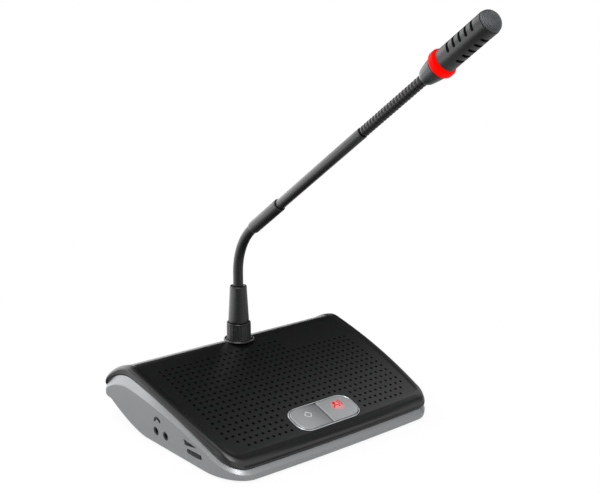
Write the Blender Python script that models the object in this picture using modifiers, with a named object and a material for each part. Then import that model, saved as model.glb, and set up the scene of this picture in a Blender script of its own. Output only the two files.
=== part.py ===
"""Conference delegate unit: a low wedge-shaped table unit with a perforated loudspeaker
panel, two push buttons, an edge volume wheel and a plug-in gooseneck microphone.

Sizes are in millimetres and become metres where a mesh or a place is made. X points to
the unit's right, Y to its rear and Z up. Y = 0 is the housing's front edge and Z = 0 the
housing's underside. The root empty moves this to the middle of the footprint.
"""

import math

import bmesh
import bpy
from mathutils import Matrix, Vector

MM = 0.001
CLEARANCE = 0.3

# Casing in plan
BASE_HALF_WIDTH = 91.0
RIM_OVERHANG = 4.0
RIM_HALF_WIDTH = BASE_HALF_WIDTH + RIM_OVERHANG
RIM_TAPER = 7.6
RIM_TAPER_START = 105.0
RIM_TAPER_LENGTH = 95.0
RIM_TAPER_POWER = 2.2
FRONT_LEAN = 3.2
BASE_CORNER = (19.0, 30.0)
RIM_CORNER = (12.0, 14.0)
REAR_CORNER_RADIUS = 5.0
FRONT_BOW = 2.0
BOW_POWER = 2.0
CORNER_STEPS = 6
FRONT_STEPS = 3
ROLL_STEPS = 6

# Casing in side view: cubic curves through (Y, Z)
PANEL_CURVE = ((3.2, 13.5), (39.3, 27.0), (75.4, 38.4), (111.5, 47.0))
REAR_ROLL_CURVE = ((111.5, 47.0), (122.0, 46.6), (143.0, 36.5), (145.6, 25.0))
SPLIT_CURVE = ((0.6, 7.3), (20.0, 10.5), (58.0, 34.2), (114.0, 39.3))
SPLIT_REAR_CURVE = ((114.0, 39.3), (125.0, 39.9), (140.0, 33.0), (146.4, 24.0))
BAND_CURVE = ((0.0, 3.0), (40.0, 3.4), (75.0, 7.0), (114.0, 7.8))
BAND_REAR_CURVE = ((114.0, 7.8), (124.0, 7.4), (136.0, 6.2), (147.0, 4.0))
UNDERSIDE_CURVE = ((98.0, 0.0), (112.0, 1.2), (128.0, 8.0), (139.5, 16.0))
REAR_TIP_Y = 147.5
REAR_LIP_RISE = 0.8
RIM_RISE_FRONT = 0.3
RIM_RISE_REAR = 0.9
FRONT_ROLL = 1.55
RIM_SLOPE_WIDTH = 7.0
RIM_ROUND = 1.6
WAIST = 2.2
WALL = 2.2
PANEL_THICKNESS = 2.4
FLOOR = 2.4
BOTTOM_ROUND = 1.6
SPLIT_SHARE = 0.59
BAND_SHARE = 0.35
WALL_FOOT_SHARE = 0.1
ROUND_SHARE = 0.02
REAR_EDGE_INSET = 1.2

# Perforation of the panel
HOLE_PITCH = 5.0
HOLE_RADIUS = 1.05
HOLE_SIDES = 4
PIT_DEPTH = 1.3
FIRST_ROW_Y = 13.3
ROWS_END_Y = 100.0
ROW_COUNT = 1 + int((ROWS_END_Y - FIRST_ROW_Y) / HOLE_PITCH)
PANEL_BORDER = 7.5
FULL_COLUMNS = 2 * int((RIM_HALF_WIDTH - RIM_SLOPE_WIDTH - PANEL_BORDER) / HOLE_PITCH)
ROW_COLUMNS = (FULL_COLUMNS - 4, FULL_COLUMNS - 2)
BUTTON_CLEAR = (29.0, 31.0)
BARE_CORNER = (24.0, 86.0)
STEM_CLEAR_RADIUS = 15.5
OPEN_HALF_SPAN = 20.0
OPEN_HALF_REACH = 13.0

# Buttons: half width, half length up the slope, corner radius, height, travel
BUTTON_Y = 18.5
BUTTON_HALF_WIDTH = 26.2
BUTTON_HALF_LENGTH = 10.4
BUTTON_CORNER = 8.0
BUTTON_PROUD = 1.2
BUTTON_TRAVEL = 0.9
BUTTON_FLANGE = 0.8
BUTTON_FLANGE_THICKNESS = 0.6
BEZEL_WIDTH = 1.0
BEZEL_PROUD = 0.5
BEZEL_FLANGE = 1.3
BEZEL_FLANGE_THICKNESS = 0.6
BEZEL_FLANGE_DROP = 2.7
LENS_RADIUS = 3.5
LENS_OFFSET = 1.6
LENS_THICKNESS = 1.1
BUTTON_EDGE = 0.6
BUTTON_BOARD_HALF = (36.0, 10.0)
BUTTON_BOARD_BOSS_X = 33.0
SWITCH_SIZE = (6.0, 6.0, 2.3)
BOARD_THICKNESS = 1.6

# Loudspeaker under the open holes
SPEAKER_Y = 60.8
SPEAKER_RADIUS = 28.0
SPEAKER_DROP = 3.0
SPEAKER_DEPTH = 10.2
SPEAKER_RIM = 3.2
THROAT_RADIUS = 7.0
THROAT_DROP = 6.8
DOME_DROP = 5.2
PAPER_THICKNESS = 1.0
MAGNET_RADIUS = 15.0
MAGNET_HEIGHT = 6.0

# Screws, bosses, feet and boards
CASE_SCREW_X = BASE_HALF_WIDTH - 11.0
CASE_SCREW_SPOTS = ((CASE_SCREW_X, 24.0), (CASE_SCREW_X, 92.0))
CASE_BOSS_RADIUS = 3.5
CASE_SCREW = (2.7, 1.1, 1.2, 13.0)
COUNTERBORE_DEPTH = 1.4
FOOT_SPOTS = ((BASE_HALF_WIDTH - 25.0, 12.0), (BASE_HALF_WIDTH - 29.0, 86.6))
FOOT_RADIUS = 5.0
FOOT_HEIGHT = 1.0
FOOT_RECESS = 0.8
BALLAST_HALF_WIDTH = BASE_HALF_WIDTH - 25.0
BALLAST_Y = (14.0, 56.0)
BALLAST_THICKNESS = 3.0
BALLAST_PIN = (BASE_HALF_WIDTH - 41.0, 35.0)
BALLAST_PIN_RADIUS = 1.5
MAIN_BOARD_Z = 4.0
MAIN_BOARD_HALF_WIDTH = BASE_HALF_WIDTH - 5.0
MAIN_BOARD_Y = (60.0, 104.0)
BOARD_ARM = (BASE_HALF_WIDTH - 19.0, 30.0)
BOARD_SCREW_X = BASE_HALF_WIDTH - 31.0
BOARD_SCREW_SPOTS = ((BOARD_SCREW_X, 66.0), (BOARD_SCREW_X, 98.0))
CHIPS = ((-20.0, 80.0, 14.0), (24.0, 82.0, 10.0))
CHIP_HEIGHT = 2.4
CAPACITOR_SPOT = (CHIPS[0][0] - 18.0, 94.0)
CAPACITOR = (4.0, 9.0)
BOARD_BOSS_RADIUS = 3.0
BOARD_SCREW = (2.3, 1.4, 1.0, 4.0)

# Controls and sockets on the left side
JACK_Z = 10.4
JACK_YS = (82.5, 71.3)
JACK_HOLE_RADIUS = 3.0
JACK_BORE_RADIUS = 1.75
JACK_BORE_DEPTH = 12.0
JACK_BODY = (14.0, 9.0, 9.0)
WHEEL_Y = 39.5
WHEEL_Z = 8.5
WHEEL_RADIUS = 10.0
WHEEL_THICKNESS = 2.4
WHEEL_PROUD = 0.8
WHEEL_TEETH = 36
WHEEL_TOOTH = 0.35
WHEEL_SHAFT_RADIUS = 1.7
WHEEL_SLOT_HALF_LENGTH = 7.85
WHEEL_SLOT_HALF_HEIGHT = 1.6
CONTROL_BODY = (11.0, 11.0, 1.1)

# Round sockets in the raised rear underside
LINK_SOCKET_X = 24.0
LINK_SOCKET_Y = 129.0
LINK_SOCKET_RADIUS = 6.5
LINK_SOCKET_DEPTH = 11.0
LINK_FLANGE = 1.5
LINK_CONTACTS = 3
LINK_CONTACT_CIRCLE = 3.2

# Microphone stem, upright part
STEM_Y = 112.6
SOCKET_TOP_Z = 46.6
SOCKET_RADIUS = 7.7
SOCKET_FLANGE_RADIUS = 10.0
SOCKET_DEPTH = 20.6
SOCKET_FLOOR = 2.2
STEM_BOSS_RADIUS = 12.2
STEM_BOSS_DEPTH = 5.3
ESCUTCHEON_RADIUS = 11.25
ESCUTCHEON_HEIGHT = 1.1
COLLAR_RADIUS = 8.8
COLLAR_TOP_Z = 60.1
COLLAR_FLUTES = 16
COLLAR_FLUTE_DEPTH = 0.25
PLUG_RADIUS = 5.7
PLUG_NECK_RADIUS = 4.3
PLUG_NECK_TOP_Z = 80.0
SLEEVE_TOP_Z = 87.3
SLEEVE_RADII = (7.5, 6.2)

# Microphone stem, flexible necks and arm
LOWER_NECK_RADIUS = 3.65
LOWER_NECK_STRAIGHT_Z = 97.0
LOWER_NECK_BEND_RADIUS = 44.4
ARM_ELEVATION = math.radians(35.3)
NECK_SEAT = 4.5
FERRULE_LENGTH = 36.0
FERRULE_RADIUS = 4.55
TUBE_RADIUS = 3.65
TUBE_BORE_RADIUS = 2.6
TUBE_END = 133.3
TUBE_SEAT = 8.0
UPPER_NECK_RADIUS = 3.5
UPPER_NECK_GROOVE_RADIUS = 3.0
UPPER_NECK_BORE_RADIUS = 1.4
UPPER_NECK_LENGTH = 60.0
UPPER_NECK_PLAIN_END = 1.0
UPPER_NECK_RIBS = 20

# Microphone head, measured along its axis
CONE_LENGTH = 12.6
CONE_RADII = (4.5, 7.3)
SPIGOT_RADIUS = 4.2
SPIGOT_LENGTH = 9.5
RING_RADIUS = 8.65
RING_LENGTH = 5.6
BARREL_RADIUS = 7.175
BARREL_LENGTH = 36.3
BARREL_WALL = 1.05
BARREL_FLOOR = 2.0
SLOT_ROWS = 3
SLOTS_IN_ROW = 5
SLOT_LENGTH = 1.9
SLOT_PITCH = 5.0
FIRST_SLOT = 9.6
SLOT_ANGLE = math.radians(66.0)
SLOT_ROW_START = math.radians(30.0)
FOAM_WALL = 1.3
CAPSULE_LENGTH = 9.5
CAP_RADIUS = 7.0
CAP_HEIGHT = 5.2
CAP_WALL = 1.0


def mix(low, high, share):
    """Value that lies a share of the way from low to high."""
    return low + (high - low) * share


def bezier(points, share):
    """Point on the cubic curve with these four control points."""
    a, b, c, d = (Vector(point) for point in points)
    rest = 1.0 - share
    return a * rest**3 + b * 3 * rest**2 * share + c * 3 * rest * share**2 + d * share**3


def height_on(points, y):
    """Height of a curve that only runs rearward, at y."""
    low, high = 0.0, 1.0
    for _ in range(40):
        middle = (low + high) / 2
        if bezier(points, middle).x < y:
            low = middle
        else:
            high = middle
    return bezier(points, high).y


def panel_height(y):
    """Top surface in the middle of the unit."""
    curve = PANEL_CURVE if y <= PANEL_CURVE[-1][0] else REAR_ROLL_CURVE
    return height_on(curve, y)


def rim_height(y):
    """Raised rim at the sides, which dips into a roll at the front corners."""
    front_y, crest_y, rear_y = PANEL_CURVE[0][0], PANEL_CURVE[-1][0], REAR_ROLL_CURVE[-1][0]
    corner_y = FRONT_LEAN + RIM_CORNER[1]
    if y <= crest_y:
        rise = mix(RIM_RISE_FRONT, RIM_RISE_REAR, (y - front_y) / (crest_y - front_y))
    else:
        behind = min(1.0, (y - crest_y) / (rear_y - crest_y))
        rise = RIM_RISE_REAR * math.sqrt(1.0 - behind**2)
    dip = min(1.0, max(0.0, (corner_y - y) / (corner_y - front_y)))
    return panel_height(y) + rise - FRONT_ROLL * dip**2


def slope_height(y):
    """Half way up the slope between the panel and its rim."""
    return mix(panel_height(y), rim_height(y), 0.4)


def split_height(y):
    """Parting line between the cover and the housing."""
    curve = SPLIT_CURVE if y <= SPLIT_CURVE[-1][0] else SPLIT_REAR_CURVE
    return height_on(curve, y)


def band_height(y):
    """Lower edge of the bevelled band under the parting line."""
    curve = BAND_CURVE if y <= BAND_CURVE[-1][0] else BAND_REAR_CURVE
    return split_height(y) - height_on(curve, y)


def underside_height(y):
    """Flat underside, which curves up to a lip at the rear."""
    lip_y, lip_z = UNDERSIDE_CURVE[-1]
    if y <= UNDERSIDE_CURVE[0][0]:
        return 0.0
    if y <= lip_y:
        return height_on(UNDERSIDE_CURVE, y)
    return lip_z + REAR_LIP_RISE * (y - lip_y) / (REAR_TIP_Y - lip_y)


def wall_half_width(y, z):
    """Half width of the side wall, which leans from the base to the rim."""
    narrowing = max(0.0, (RIM_TAPER_START - y) / RIM_TAPER_LENGTH) ** RIM_TAPER_POWER
    rim = RIM_HALF_WIDTH - RIM_TAPER * narrowing
    return mix(BASE_HALF_WIDTH, rim, z / rim_height(y))


def slope_angle(height, y):
    """Angle at which a profile climbs rearward."""
    return math.atan((height(y + 0.5) - height(y - 0.5)))


def side_stations():
    """Where the rings have points, as shares of the way from the front corner to the rear.

    On the panel they lie between rows of holes, two rows apart.
    """
    start = FRONT_LEAN + RIM_CORNER[1]
    rear = REAR_ROLL_CURVE[-1][0]
    stations = [bezier(REAR_ROLL_CURVE, 1.0 - step / ROLL_STEPS).x for step in range(ROLL_STEPS + 1)]
    edge = FIRST_ROW_Y + (ROW_COUNT - 0.5) * HOLE_PITCH
    while edge > start + HOLE_PITCH / 2:
        stations.append(edge)
        edge -= 2 * HOLE_PITCH
    stations.append(start)
    return [(y - start) / (rear - start) for y in stations]


def ring(height, share, inset, rear_y, lift=0.0, shell=0.0):
    """Ring of points round the casing, from the rear left forward and back on the right.

    height gives Z at Y. share is 0 at the base and 1 at the rim. inset narrows the ring
    before the height is read, and shell moves it in afterwards, to make a wall.
    """
    corner_x = mix(BASE_CORNER[0], RIM_CORNER[0], share)
    corner_y = mix(BASE_CORNER[1], RIM_CORNER[1], share)
    centre_y = FRONT_LEAN * share**3 + corner_y
    left = []
    for station in side_stations():
        y = mix(centre_y, rear_y, station)
        z = height(y)
        past = min(REAR_CORNER_RADIUS, max(0.0, y - rear_y + REAR_CORNER_RADIUS))
        rounding = REAR_CORNER_RADIUS - math.sqrt(REAR_CORNER_RADIUS**2 - past**2)
        x = wall_half_width(y, z) - rounding - inset - shell
        left.append((x, mix(centre_y, rear_y - shell, station), z + lift))
    half = left[-1][0]
    centre_x = wall_half_width(centre_y, height(centre_y)) - corner_x
    front = []
    for step in range(1, CORNER_STEPS + 1):
        angle = math.radians(90.0 * step / CORNER_STEPS)
        front.append((centre_x + (corner_x - inset - shell) * math.cos(angle), math.sin(angle)))
    for step in range(FRONT_STEPS, 0, -1):
        front.append((centre_x * step / (FRONT_STEPS + 1), 1.0))
    for x, forward in front:
        bow = FRONT_BOW * (1.0 - (x / half) ** BOW_POWER)
        z = height(centre_y - (corner_y - inset) * forward - bow)
        left.append((x, centre_y - (corner_y - inset - shell) * forward - bow, z + lift))
    return [(-x, y, z) for x, y, z in left] + list(reversed(left))


def lofted_mesh(name, rings):
    """Skin over rings of equal count, closed at both ends by strips across the unit."""
    bm = bmesh.new()
    rows = [[bm.verts.new(point) for point in points] for points in rings]
    count = len(rows[0])
    for row, following in zip(rows, rows[1:]):
        for i in range(count):
            j = (i + 1) % count
            bm.faces.new((row[i], row[j], following[j], following[i]))
    for row in (rows[0], rows[-1]):
        for i in range(count // 2 - 1):
            bm.faces.new((row[i], row[i + 1], row[count - 2 - i], row[count - 1 - i]))
    return finished(name, bm)


def finished(name, bm):
    """Mesh in metres, with its faces pointing out, from a bmesh in millimetres."""
    bmesh.ops.recalc_face_normals(bm, faces=bm.faces)
    bmesh.ops.scale(bm, vec=(MM, MM, MM), verts=bm.verts)
    mesh = bpy.data.meshes.new(name)
    bm.to_mesh(mesh)
    bm.free()
    return mesh


def at(x, y, z, turn=None):
    """Place in metres from a point in millimetres and a turn."""
    return Matrix.Translation(Vector((x, y, z)) * MM) @ (turn or Matrix.Identity(4))


def on_panel(x, y):
    """Place on the panel, with its Z axis square to the surface."""
    return at(x, y, panel_height(y), Matrix.Rotation(slope_angle(panel_height, y), 4, "X"))


def on_underside(x, y):
    """Place on the rear underside, with its Z axis pointing out of the casing."""
    turn = Matrix.Rotation(math.pi + slope_angle(underside_height, y), 4, "X")
    return at(x, y, underside_height(y), turn)


def on_stem(z=0.0):
    """Place on the stem's upright axis."""
    return at(0.0, STEM_Y, z)


def on_arm(distance):
    """Place on the arm's axis, which its Z axis follows."""
    bend = math.pi / 2 - ARM_ELEVATION
    y = STEM_Y - LOWER_NECK_BEND_RADIUS * (1.0 - math.cos(bend)) - distance * math.cos(ARM_ELEVATION)
    z = LOWER_NECK_STRAIGHT_Z + LOWER_NECK_BEND_RADIUS * math.sin(bend) + distance * math.sin(ARM_ELEVATION)
    return at(0.0, y, z, Matrix.Rotation(bend, 4, "X"))


def add_cylinder(bm, radius, low, high, place, sides=12, top_radius=None):
    """Closed cylinder or cone along the place's Z axis."""
    top = radius if top_radius is None else top_radius
    local = Matrix.Translation(place.to_translation() / MM) @ place.to_3x3().to_4x4()
    bmesh.ops.create_cone(
        bm,
        cap_ends=True,
        segments=sides,
        radius1=radius,
        radius2=top,
        depth=high - low,
        matrix=local @ Matrix.Translation((0.0, 0.0, (low + high) / 2)),
    )


def add_box(bm, size, centre, place):
    """Closed box round a centre in the place's axes."""
    local = Matrix.Translation(place.to_translation() / MM) @ place.to_3x3().to_4x4()
    bmesh.ops.create_cube(bm, matrix=local @ Matrix.Translation(centre) @ Matrix.Diagonal((*size, 1.0)))


def rounded_outline(low, high, radii, steps=4):
    """Rectangle with its own radius at each corner, from the low corner, anticlockwise."""
    (x0, y0), (x1, y1) = low, high
    corners = ((x0, y0, 180.0), (x1, y0, 270.0), (x1, y1, 0.0), (x0, y1, 90.0))
    points = []
    for (x, y, start), radius in zip(corners, radii):
        centre_x = x + math.copysign(radius, x0 + x1 - 2 * x)
        centre_y = y + math.copysign(radius, y0 + y1 - 2 * y)
        for step in range(steps + 1):
            angle = math.radians(start + 90.0 * step / steps)
            points.append((centre_x + radius * math.cos(angle), centre_y + radius * math.sin(angle)))
    return points


def even_outline(half_width, half_length, radius):
    """Rectangle about the origin with equal corner radii."""
    return rounded_outline((-half_width, -half_length), (half_width, half_length), (radius,) * 4)


def toothed_outline(radius, depth, teeth):
    """Circle with pointed teeth."""
    points = []
    for step in range(2 * teeth):
        reach = radius - depth * (step % 2)
        angle = math.pi * step / teeth
        points.append((reach * math.cos(angle), reach * math.sin(angle)))
    return points


def round_outline(radius, sides=24):
    """Circle as a polygon."""
    angles = [2 * math.pi * step / sides for step in range(sides)]
    return [(radius * math.cos(angle), radius * math.sin(angle)) for angle in angles]


def mesh_of_curve(name, curve):
    """Closed mesh of a curve, which is removed."""
    holder = bpy.data.objects.new(name, curve)
    bpy.context.scene.collection.objects.link(holder)
    graph = bpy.context.evaluated_depsgraph_get()
    mesh = bpy.data.meshes.new_from_object(holder.evaluated_get(graph))
    bpy.data.objects.remove(holder)
    bpy.data.curves.remove(curve)
    bm = bmesh.new()
    bm.from_mesh(mesh)
    bmesh.ops.remove_doubles(bm, verts=bm.verts, dist=1e-7)
    bmesh.ops.recalc_face_normals(bm, faces=bm.faces)
    bm.to_mesh(mesh)
    bm.free()
    mesh.name = name
    return mesh


def flat_mesh(name, loops, low, high):
    """Plate between two heights, with the first loop as its outline and the rest as holes."""
    curve = bpy.data.curves.new(name, "CURVE")
    curve.dimensions = "2D"
    curve.fill_mode = "BOTH"
    curve.extrude = (high - low) / 2 * MM
    for loop in loops:
        spline = curve.splines.new("POLY")
        spline.points.add(len(loop) - 1)
        spline.use_cyclic_u = True
        for point, (x, y) in zip(spline.points, loop):
            point.co = (x * MM, y * MM, 0.0, 1.0)
    mesh = mesh_of_curve(name, curve)
    mesh.transform(Matrix.Translation((0.0, 0.0, (low + high) / 2 * MM)))
    return mesh


def tube_curve(name, points, radius, shares=None, resolution=2):
    """Round tube with closed ends along points, each with its share of the radius."""
    curve = bpy.data.curves.new(name, "CURVE")
    curve.dimensions = "3D"
    curve.bevel_depth = radius * MM
    curve.bevel_resolution = resolution
    curve.use_fill_caps = True
    spline = curve.splines.new("POLY")
    spline.points.add(len(points) - 1)
    for i, (point, place) in enumerate(zip(spline.points, points)):
        point.co = (*(Vector(place) * MM), 1.0)
        point.radius = shares[i] if shares else 1.0
    return curve


def add_piece(name, data, material, place=None):
    """Named piece of the unit, which hangs on the root empty."""
    piece = bpy.data.objects.new(name, data)
    parts.objects.link(piece)
    piece.parent = root
    piece.matrix_local = place or Matrix.Identity(4)
    data.materials.clear()
    data.materials.append(material)
    return piece


def add_helper(name, data, place=None):
    """Shape that only cuts or joins, kept out of renders."""
    helper = bpy.data.objects.new(name, data)
    cutters.objects.link(helper)
    helper.parent = root
    helper.matrix_local = place or Matrix.Identity(4)
    helper.hide_render = True
    helper.display_type = "WIRE"
    return helper


def combine(piece, helper, operation):
    """Cut the helper from the piece, or join it on."""
    boolean = piece.modifiers.new(helper.name, "BOOLEAN")
    boolean.operation = operation
    boolean.solver = "EXACT"
    boolean.object = helper


def turned(name, profile, material, place, steps=32):
    """Solid turned about the place's Z axis from (radius, height) points.

    The points run down the outer side. A profile that doesn't end on the axis is a loop.
    """
    mesh = bpy.data.meshes.new(name)
    points = [(radius * MM, 0.0, height * MM) for radius, height in profile]
    edges = [(i, i + 1) for i in range(len(points) - 1)]
    if profile[0][0] > 0.0:
        edges.append((len(points) - 1, 0))
    mesh.from_pydata(points, edges, [])
    piece = add_piece(name, mesh, material, place)
    screw = piece.modifiers.new("Turn", "SCREW")
    screw.angle = 2 * math.pi
    screw.steps = steps
    screw.render_steps = steps
    screw.use_merge_vertices = True
    screw.merge_threshold = 1e-6
    screw.use_smooth_shade = True
    return piece


def paint(name, colour, roughness, metallic=0.0, glow=0.0):
    """Plain surface from an sRGB colour such as 0x8A8A8C."""
    channels = [((colour >> shift) & 255) / 255 for shift in (16, 8, 0)]
    linear = [c / 12.92 if c <= 0.04045 else ((c + 0.055) / 1.055) ** 2.4 for c in channels]
    material = bpy.data.materials.new(name)
    material.use_nodes = True
    shader = material.node_tree.nodes["Principled BSDF"]
    shader.inputs["Base Color"].default_value = (*linear, 1.0)
    shader.inputs["Roughness"].default_value = roughness
    shader.inputs["Metallic"].default_value = metallic
    shader.inputs["Emission Color"].default_value = (*linear, 1.0)
    shader.inputs["Emission Strength"].default_value = glow
    material.diffuse_color = (*linear, 1.0)
    return material


def both_sides(spots):
    """The front and rear spots on the right and, mirrored, on the left, with a word for each."""
    for place, (x, y) in zip(("front", "rear"), spots):
        yield f"{place}_right", x, y
        yield f"{place}_left", -x, y


def build_housing():
    """Silver lower shell: bevelled band, side walls, floor and raised rear underside."""
    split_y, band_y = SPLIT_REAR_CURVE[-1][0], BAND_REAR_CURVE[-1][0]
    bottom_y = REAR_TIP_Y - 0.3 * BOTTOM_ROUND
    rounding = 0.3 * BOTTOM_ROUND
    split = ring(split_height, SPLIT_SHARE, WAIST, split_y, -CLEARANCE / 2)
    split_inner = ring(split_height, SPLIT_SHARE, WAIST, split_y, -CLEARANCE / 2, WALL)
    band = ring(band_height, BAND_SHARE, 0.0, band_y)
    band_inner = ring(band_height, BAND_SHARE, 0.0, band_y, 0.0, WALL)
    wall_foot = ring(underside_height, WALL_FOOT_SHARE, 0.0, REAR_TIP_Y, BOTTOM_ROUND)
    round_middle = ring(underside_height, ROUND_SHARE, rounding, mix(REAR_TIP_Y, bottom_y, 0.2), rounding)
    bottom = ring(underside_height, 0.0, BOTTOM_ROUND, bottom_y)
    floor = ring(underside_height, 0.0, 0.0, bottom_y, FLOOR, WALL)
    rings = (floor, band_inner, split_inner, split, band, wall_foot, round_middle, bottom)
    housing = add_piece("bottom_housing", lofted_mesh("bottom_housing", rings), SILVER)

    studs = bmesh.new()
    for _, x, y in both_sides(BOARD_SCREW_SPOTS):
        add_cylinder(studs, BOARD_BOSS_RADIUS, FLOOR - 0.6, MAIN_BOARD_Z - CLEARANCE, at(x, y, 0.0))
    for x in (-BALLAST_PIN[0], BALLAST_PIN[0]):
        top = FLOOR + BALLAST_THICKNESS + 1.3
        add_cylinder(studs, BALLAST_PIN_RADIUS, FLOOR - 0.6, top, at(x, BALLAST_PIN[1], 0.0), 10)
    combine(housing, add_helper("housing_bosses", finished("housing_bosses", studs)), "UNION")

    holes = bmesh.new()
    for _, x, y in both_sides(BOARD_SCREW_SPOTS):
        add_cylinder(holes, BOARD_SCREW[2] + CLEARANCE, FLOOR - 1.1, MAIN_BOARD_Z + 1.0, at(x, y, 0.0), 8)
    for _, x, y in both_sides(CASE_SCREW_SPOTS):
        add_cylinder(holes, CASE_SCREW[2] + CLEARANCE, -1.0, FLOOR + 1.0, at(x, y, 0.0), 10)
    for _, x, y in both_sides(FOOT_SPOTS):
        add_cylinder(holes, FOOT_RADIUS + CLEARANCE, -1.0, FOOT_RECESS, at(x, y, 0.0))
    for y in JACK_YS:
        wall = wall_half_width(y, JACK_Z)
        side = at(-wall, y, JACK_Z, Matrix.Rotation(math.pi / 2, 4, "Y"))
        add_cylinder(holes, JACK_HOLE_RADIUS, -WALL, 2 * WALL, side)
    for x in (-LINK_SOCKET_X, LINK_SOCKET_X):
        rear = on_underside(x, LINK_SOCKET_Y)
        add_cylinder(holes, LINK_SOCKET_RADIUS + CLEARANCE, -2 * FLOOR, FLOOR, rear, 16)
    combine(housing, add_helper("housing_holes", finished("housing_holes", holes)), "DIFFERENCE")

    counterbores = bmesh.new()
    for _, x, y in both_sides(CASE_SCREW_SPOTS):
        add_cylinder(counterbores, CASE_SCREW[0] + CLEARANCE, -1.0, COUNTERBORE_DEPTH, at(x, y, 0.0))
    combine(housing, add_helper("counterbores", finished("counterbores", counterbores)), "DIFFERENCE")

    outline = even_outline(WHEEL_SLOT_HALF_LENGTH, WHEEL_SLOT_HALF_HEIGHT, WHEEL_SLOT_HALF_HEIGHT - 0.1)
    wall = wall_half_width(WHEEL_Y, WHEEL_Z)
    upright = Matrix.Rotation(math.pi / 2, 4, "Z") @ Matrix.Rotation(math.pi / 2, 4, "X")
    slot = flat_mesh("wheel_slot", [outline], -2 * WALL, 2 * WALL)
    combine(housing, add_helper("wheel_slot", slot, at(-wall, WHEEL_Y, WHEEL_Z, upright)), "DIFFERENCE")


def hole_spots():
    """(x, y, open) of each hole in the panel's square grid."""
    for row in range(ROW_COUNT):
        y = FIRST_ROW_Y + row * HOLE_PITCH
        columns = ROW_COLUMNS[row] if row < len(ROW_COLUMNS) else FULL_COLUMNS
        for column in range(columns):
            x = (column - (columns - 1) / 2) * HOLE_PITCH
            at_buttons = abs(x) < BUTTON_CLEAR[0] and y < BUTTON_CLEAR[1]
            at_bare_corner = x > BARE_CORNER[0] and y > BARE_CORNER[1]
            if at_buttons or at_bare_corner or math.hypot(x, y - STEM_Y) < STEM_CLEAR_RADIUS:
                continue
            yield x, y, abs(y - SPEAKER_Y) < OPEN_HALF_REACH and abs(x) < OPEN_HALF_SPAN


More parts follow.
